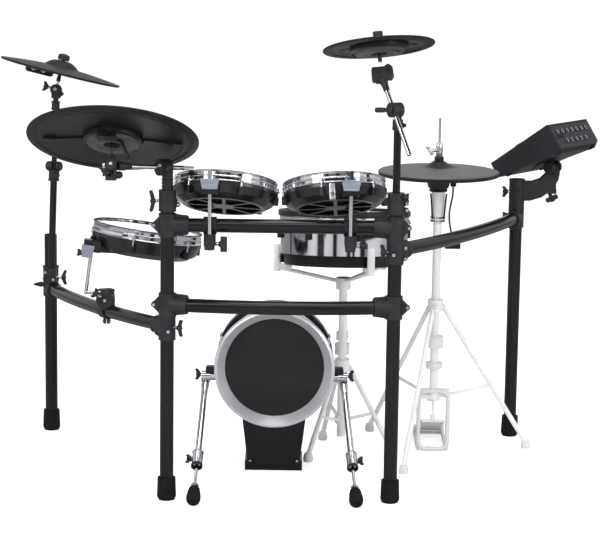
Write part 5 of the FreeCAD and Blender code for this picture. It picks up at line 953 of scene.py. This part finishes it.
for low, high, proud in ((254, 274, 12), (318, 354, 14)):
    collar(trim, clutch, 12.7, low, high, proud, 3)
hoop = [(hat_x + x, 187, 97 + z) for x, z in rounded(88, 178, 22)]
wire(trim, hoop + hoop[:1], 6.5, 3)
piece("hihat_sensor_trim", trim, "rack", "black_plastic", chrome, abs_black, enamel, pale_rubber)

# Extruded PVC is smooth and slightly waxy, with faint die lines 2 mm apart round it
pvc = finish_of("Extruded PVC", Roughness=0.42, Specular_IOR_Level=0.4)
where = add(pvc, "TexCoord").outputs["Object"]
lines = add(pvc, "TexNoise", {"Vector": where, "Scale": 1 / 0.002, "Detail": 2.0}).outputs["Fac"]
add(pvc, "ValToRGB", {"Fac": lines}, into="Base Color", ramp=((0.3, "#19191a"), (0.7, "#222224")))
add(pvc, "Bump", {"Height": lines, "Strength": 0.1, "Distance": 0.0002}, into="Normal")
route = [(0, 0, 0), (0, 0, 28), (-6, 2, 54), (-10, 5, 84), (-8, 4, 114), (-2, 1, 140), (-2, 1, 166)]
line = bpy.data.curves.new("hihat_lead_cord", "CURVE")
line.dimensions, line.bevel_depth, line.bevel_resolution, line.use_fill_caps = "3D", 0.00275, 5, True
spline = line.splines.new("NURBS")
spline.points.add(len(route) - 1)
for point, (dx, dy, drop) in zip(spline.points, route):
    point.co = (0.522 + dx / 1000, 0.203 + dy / 1000, 0.808 - drop / 1000, 1)
spline.order_u, spline.use_endpoint_u, spline.resolution_u = 3, True, 12
line.materials.append(pvc)
lead = bpy.data.objects.new("hihat_lead_cord", line)
bpy.context.scene.collection.objects.link(lead)
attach(lead, "hihat_top")
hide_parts("hihat_lead")
dress("hihat_lead_plug", abs_black)
trim = bmesh.new()
turned(trim, place(520, 204, 641), [(3, 0), (6.4, 0), (6, 4), (4, 16), (3, 17)], 0, 22, closed=True)
plug_face = place(545, 204, 631) @ place(pitch=90)
plate(trim, plug_face, rounded(15, 10, 2), 0, 3, 1)
for rib in range(4):
    plate(trim, place(508 + 5 * rib, 204, 631), rounded(2, 17, 0.8, 2), -9, 9)
lead_trim = piece("hihat_lead_boot", trim, "hihat_top", "black_plastic", abs_black, zinc, edge=0.3)

# Sound module: a two-part moulded case on a tilting arm of the rear right leg, with a dark panel of
# buttons, a dial and a display to the drummer, and the jacks in its rear face.

# Moulded case plastic, charcoal, with a fine mould texture of 1 mm drawn at 2.5 mm
case_abs = finish_of("Charcoal ABS", Specular_IOR_Level=0.25)
where = add(case_abs, "TexCoord").outputs["Object"]
grain = add(case_abs, "TexNoise", {"Vector": where, "Scale": 1 / 0.0025, "Detail": 2.0}).outputs["Fac"]
tone = add(case_abs, "TexNoise", {"Vector": where, "Scale": 1 / 0.060, "Detail": 2.0}).outputs["Fac"]
add(case_abs, "ValToRGB", {"Fac": tone}, into="Base Color", ramp=((0.3, "#1a1a1e"), (0.75, "#222227")))
add(case_abs, "MapRange", {"Value": tone, "To Min": 0.48, "To Max": 0.6}, into="Roughness")
add(case_abs, "Bump", {"Height": grain, "Strength": 0.2, "Distance": 0.0003}, into="Normal")
# Printed plate of the jack field: blue-grey paint with a light 1.5 mm stipple drawn at 3 mm
jack_plate = finish_of("Painted steel plate", Roughness=0.5, Specular_IOR_Level=0.35)
where = add(jack_plate, "TexCoord").outputs["Object"]
stipple = add(jack_plate, "TexNoise", {"Vector": where, "Scale": 1 / 0.003}).outputs["Fac"]
add(jack_plate, "ValToRGB", {"Fac": stipple}, into="Base Color", ramp=((0.3, "#232428"), (0.7, "#2c2d32")))
add(jack_plate, "Bump", {"Height": stipple, "Strength": 0.15, "Distance": 0.0003}, into="Normal")
# Display window: dark acrylic with a clear gloss over a faint pixel grid of 1 mm, drawn at 3 mm
window = finish_of("Tinted acrylic", Roughness=0.08, Coat_Weight=0.6, Coat_Roughness=0.03)
where = add(window, "TexCoord").outputs["Object"]
pixels = {"Vector": where, "Scale": 1 / 0.003, "Color1": colour("#1d2a33"), "Color2": colour("#22323d")}
add(window, "TexChecker", pixels, into="Base Color")
# Silicone keys: soft grey with a dry, powdery 1 mm skin drawn at 2 mm
silicone = finish_of("Silicone rubber", Roughness=0.7, Specular_IOR_Level=0.3)
where = add(silicone, "TexCoord").outputs["Object"]
powder = add(silicone, "TexNoise", {"Vector": where, "Scale": 1 / 0.002}).outputs["Fac"]
add(silicone, "ValToRGB", {"Fac": powder}, into="Base Color", ramp=((0.3, "#8e9096"), (0.7, "#a2a4aa")))

dress("module_case", case_abs)
dress("module_panel", case_abs)
dress("module_dial", abs_black)
dress("module_volume_knob", abs_black)
dress("module_button", silicone)
dress("module_mount", nylon)
case_spot = place(796.38, 432.36, 919.82, yaw=-127, roll=34.5)
trim = bmesh.new()
back = case_spot @ place(y=116.6, z=-46, roll=-90)
plate(trim, back, rounded(222, 74, 5), -2, 1.6, 0)
jack = [(0, 0), (8, 0), (8, 3.4), (6, 4.4), (3.6, 4.4), (3.4, 1.8), (0, 1.8)]
for row, jacks in ((-18, 7), (14, 5)):
    for number in range(jacks):
        hole = back @ place(x=(number - (jacks - 1) / 2) * 28, y=row)
        turned(trim, hole, jack, [1, 1, 1, 2, 1, 1], 24)
for slot_x in range(9):
    plate(trim, back @ place(x=62 + 5 * slot_x, y=-2), rounded(2.2, 14, 1, 2), 0, 2.4, 1)
piece("module_jack_field", trim, "module", "module_grey", jack_plate, abs_black, zinc)
trim = bmesh.new()
top = case_spot @ place(z=3)
plate(trim, top @ place(x=-22, y=58), rounded(112, 60, 5), -2, 1.4, 0)
plate(trim, top @ place(x=-22, y=58), rounded(98, 46, 3), 0, 2.2, 1)
for row in range(2):
    for number in range(5):
        plate(trim, top @ place(x=-80 + 24 * number, y=-6 - 22 * row), rounded(17, 9, 3), -1, 3.4, 2)
for number in range(6):
    plate(trim, top @ place(x=-78 + 27 * number, y=-98), rounded(20, 12, 3), -1, 2.6, 2)
piece("module_controls", trim, "module", "module_grey", abs_black, window, silicone)
trim = bmesh.new()
# the case's underside lies 40 mm deeper at the rear face than at the drummer's edge, 233 mm away
slope, length = 40, 233
foot = [(0, -8), (9, -8), (10, -4), (10, 2), (0, 2)]
for x in (-98, 98):
    for y in (-95, 90):
        foot_spot = case_spot @ place(x=x, y=-y, z=-47 - slope * (0.5 - y / length))
        turned(trim, foot_spot, foot, 1, 24)
piece("module_feet", trim, "module", "module_grey", case_abs, rubber)
trim = bmesh.new()
leg = place(*right_leg)
for low in (713, 802):
    collar(trim, leg, sleeve_r, low, low + 4, 0.6)
wing_bolt(trim, place(*right_leg, 768, yaw=195) @ place(x=22, pitch=90), 34, 14)
bolt(trim, place(*right_leg, 772, yaw=-80) @ place(x=23, pitch=90), 4.5, 0)
# the arm is one deep casting that sweeps up to the hinge, with a knob below it that locks the tilt
sweep = [(738, 740), (772, 741), (806, 752), (836, 774), (856, 806), (860, 830), (852, 846)]
sweep += [(826, 846), (818, 826), (800, 808), (776, 800), (738, 800)]
plate(trim, place(0, 401, 0, roll=90), sweep, -14, 14)
hinge = place(838, 401, 844, yaw=-127)
for way in (90, -90):
    turned(trim, hinge @ place(pitch=way), [(0, 15), (17, 15), (19, 17), (19, 24), (16, 27), (0, 27)], 0, 32)
knob = place(834, 401, 758, pitch=155)
turned(trim, knob, [(0, -20), (6, -20), (6, 8), (9, 10), (9, 18), (6, 22), (0, 22)], 0, 22)
plate(trim, knob @ place(z=12, roll=90), rounded(40, 14, 6.5), -6, 6)
piece("module_mount_trim", trim, "module_mount", "black_clamp", nylon, zinc)
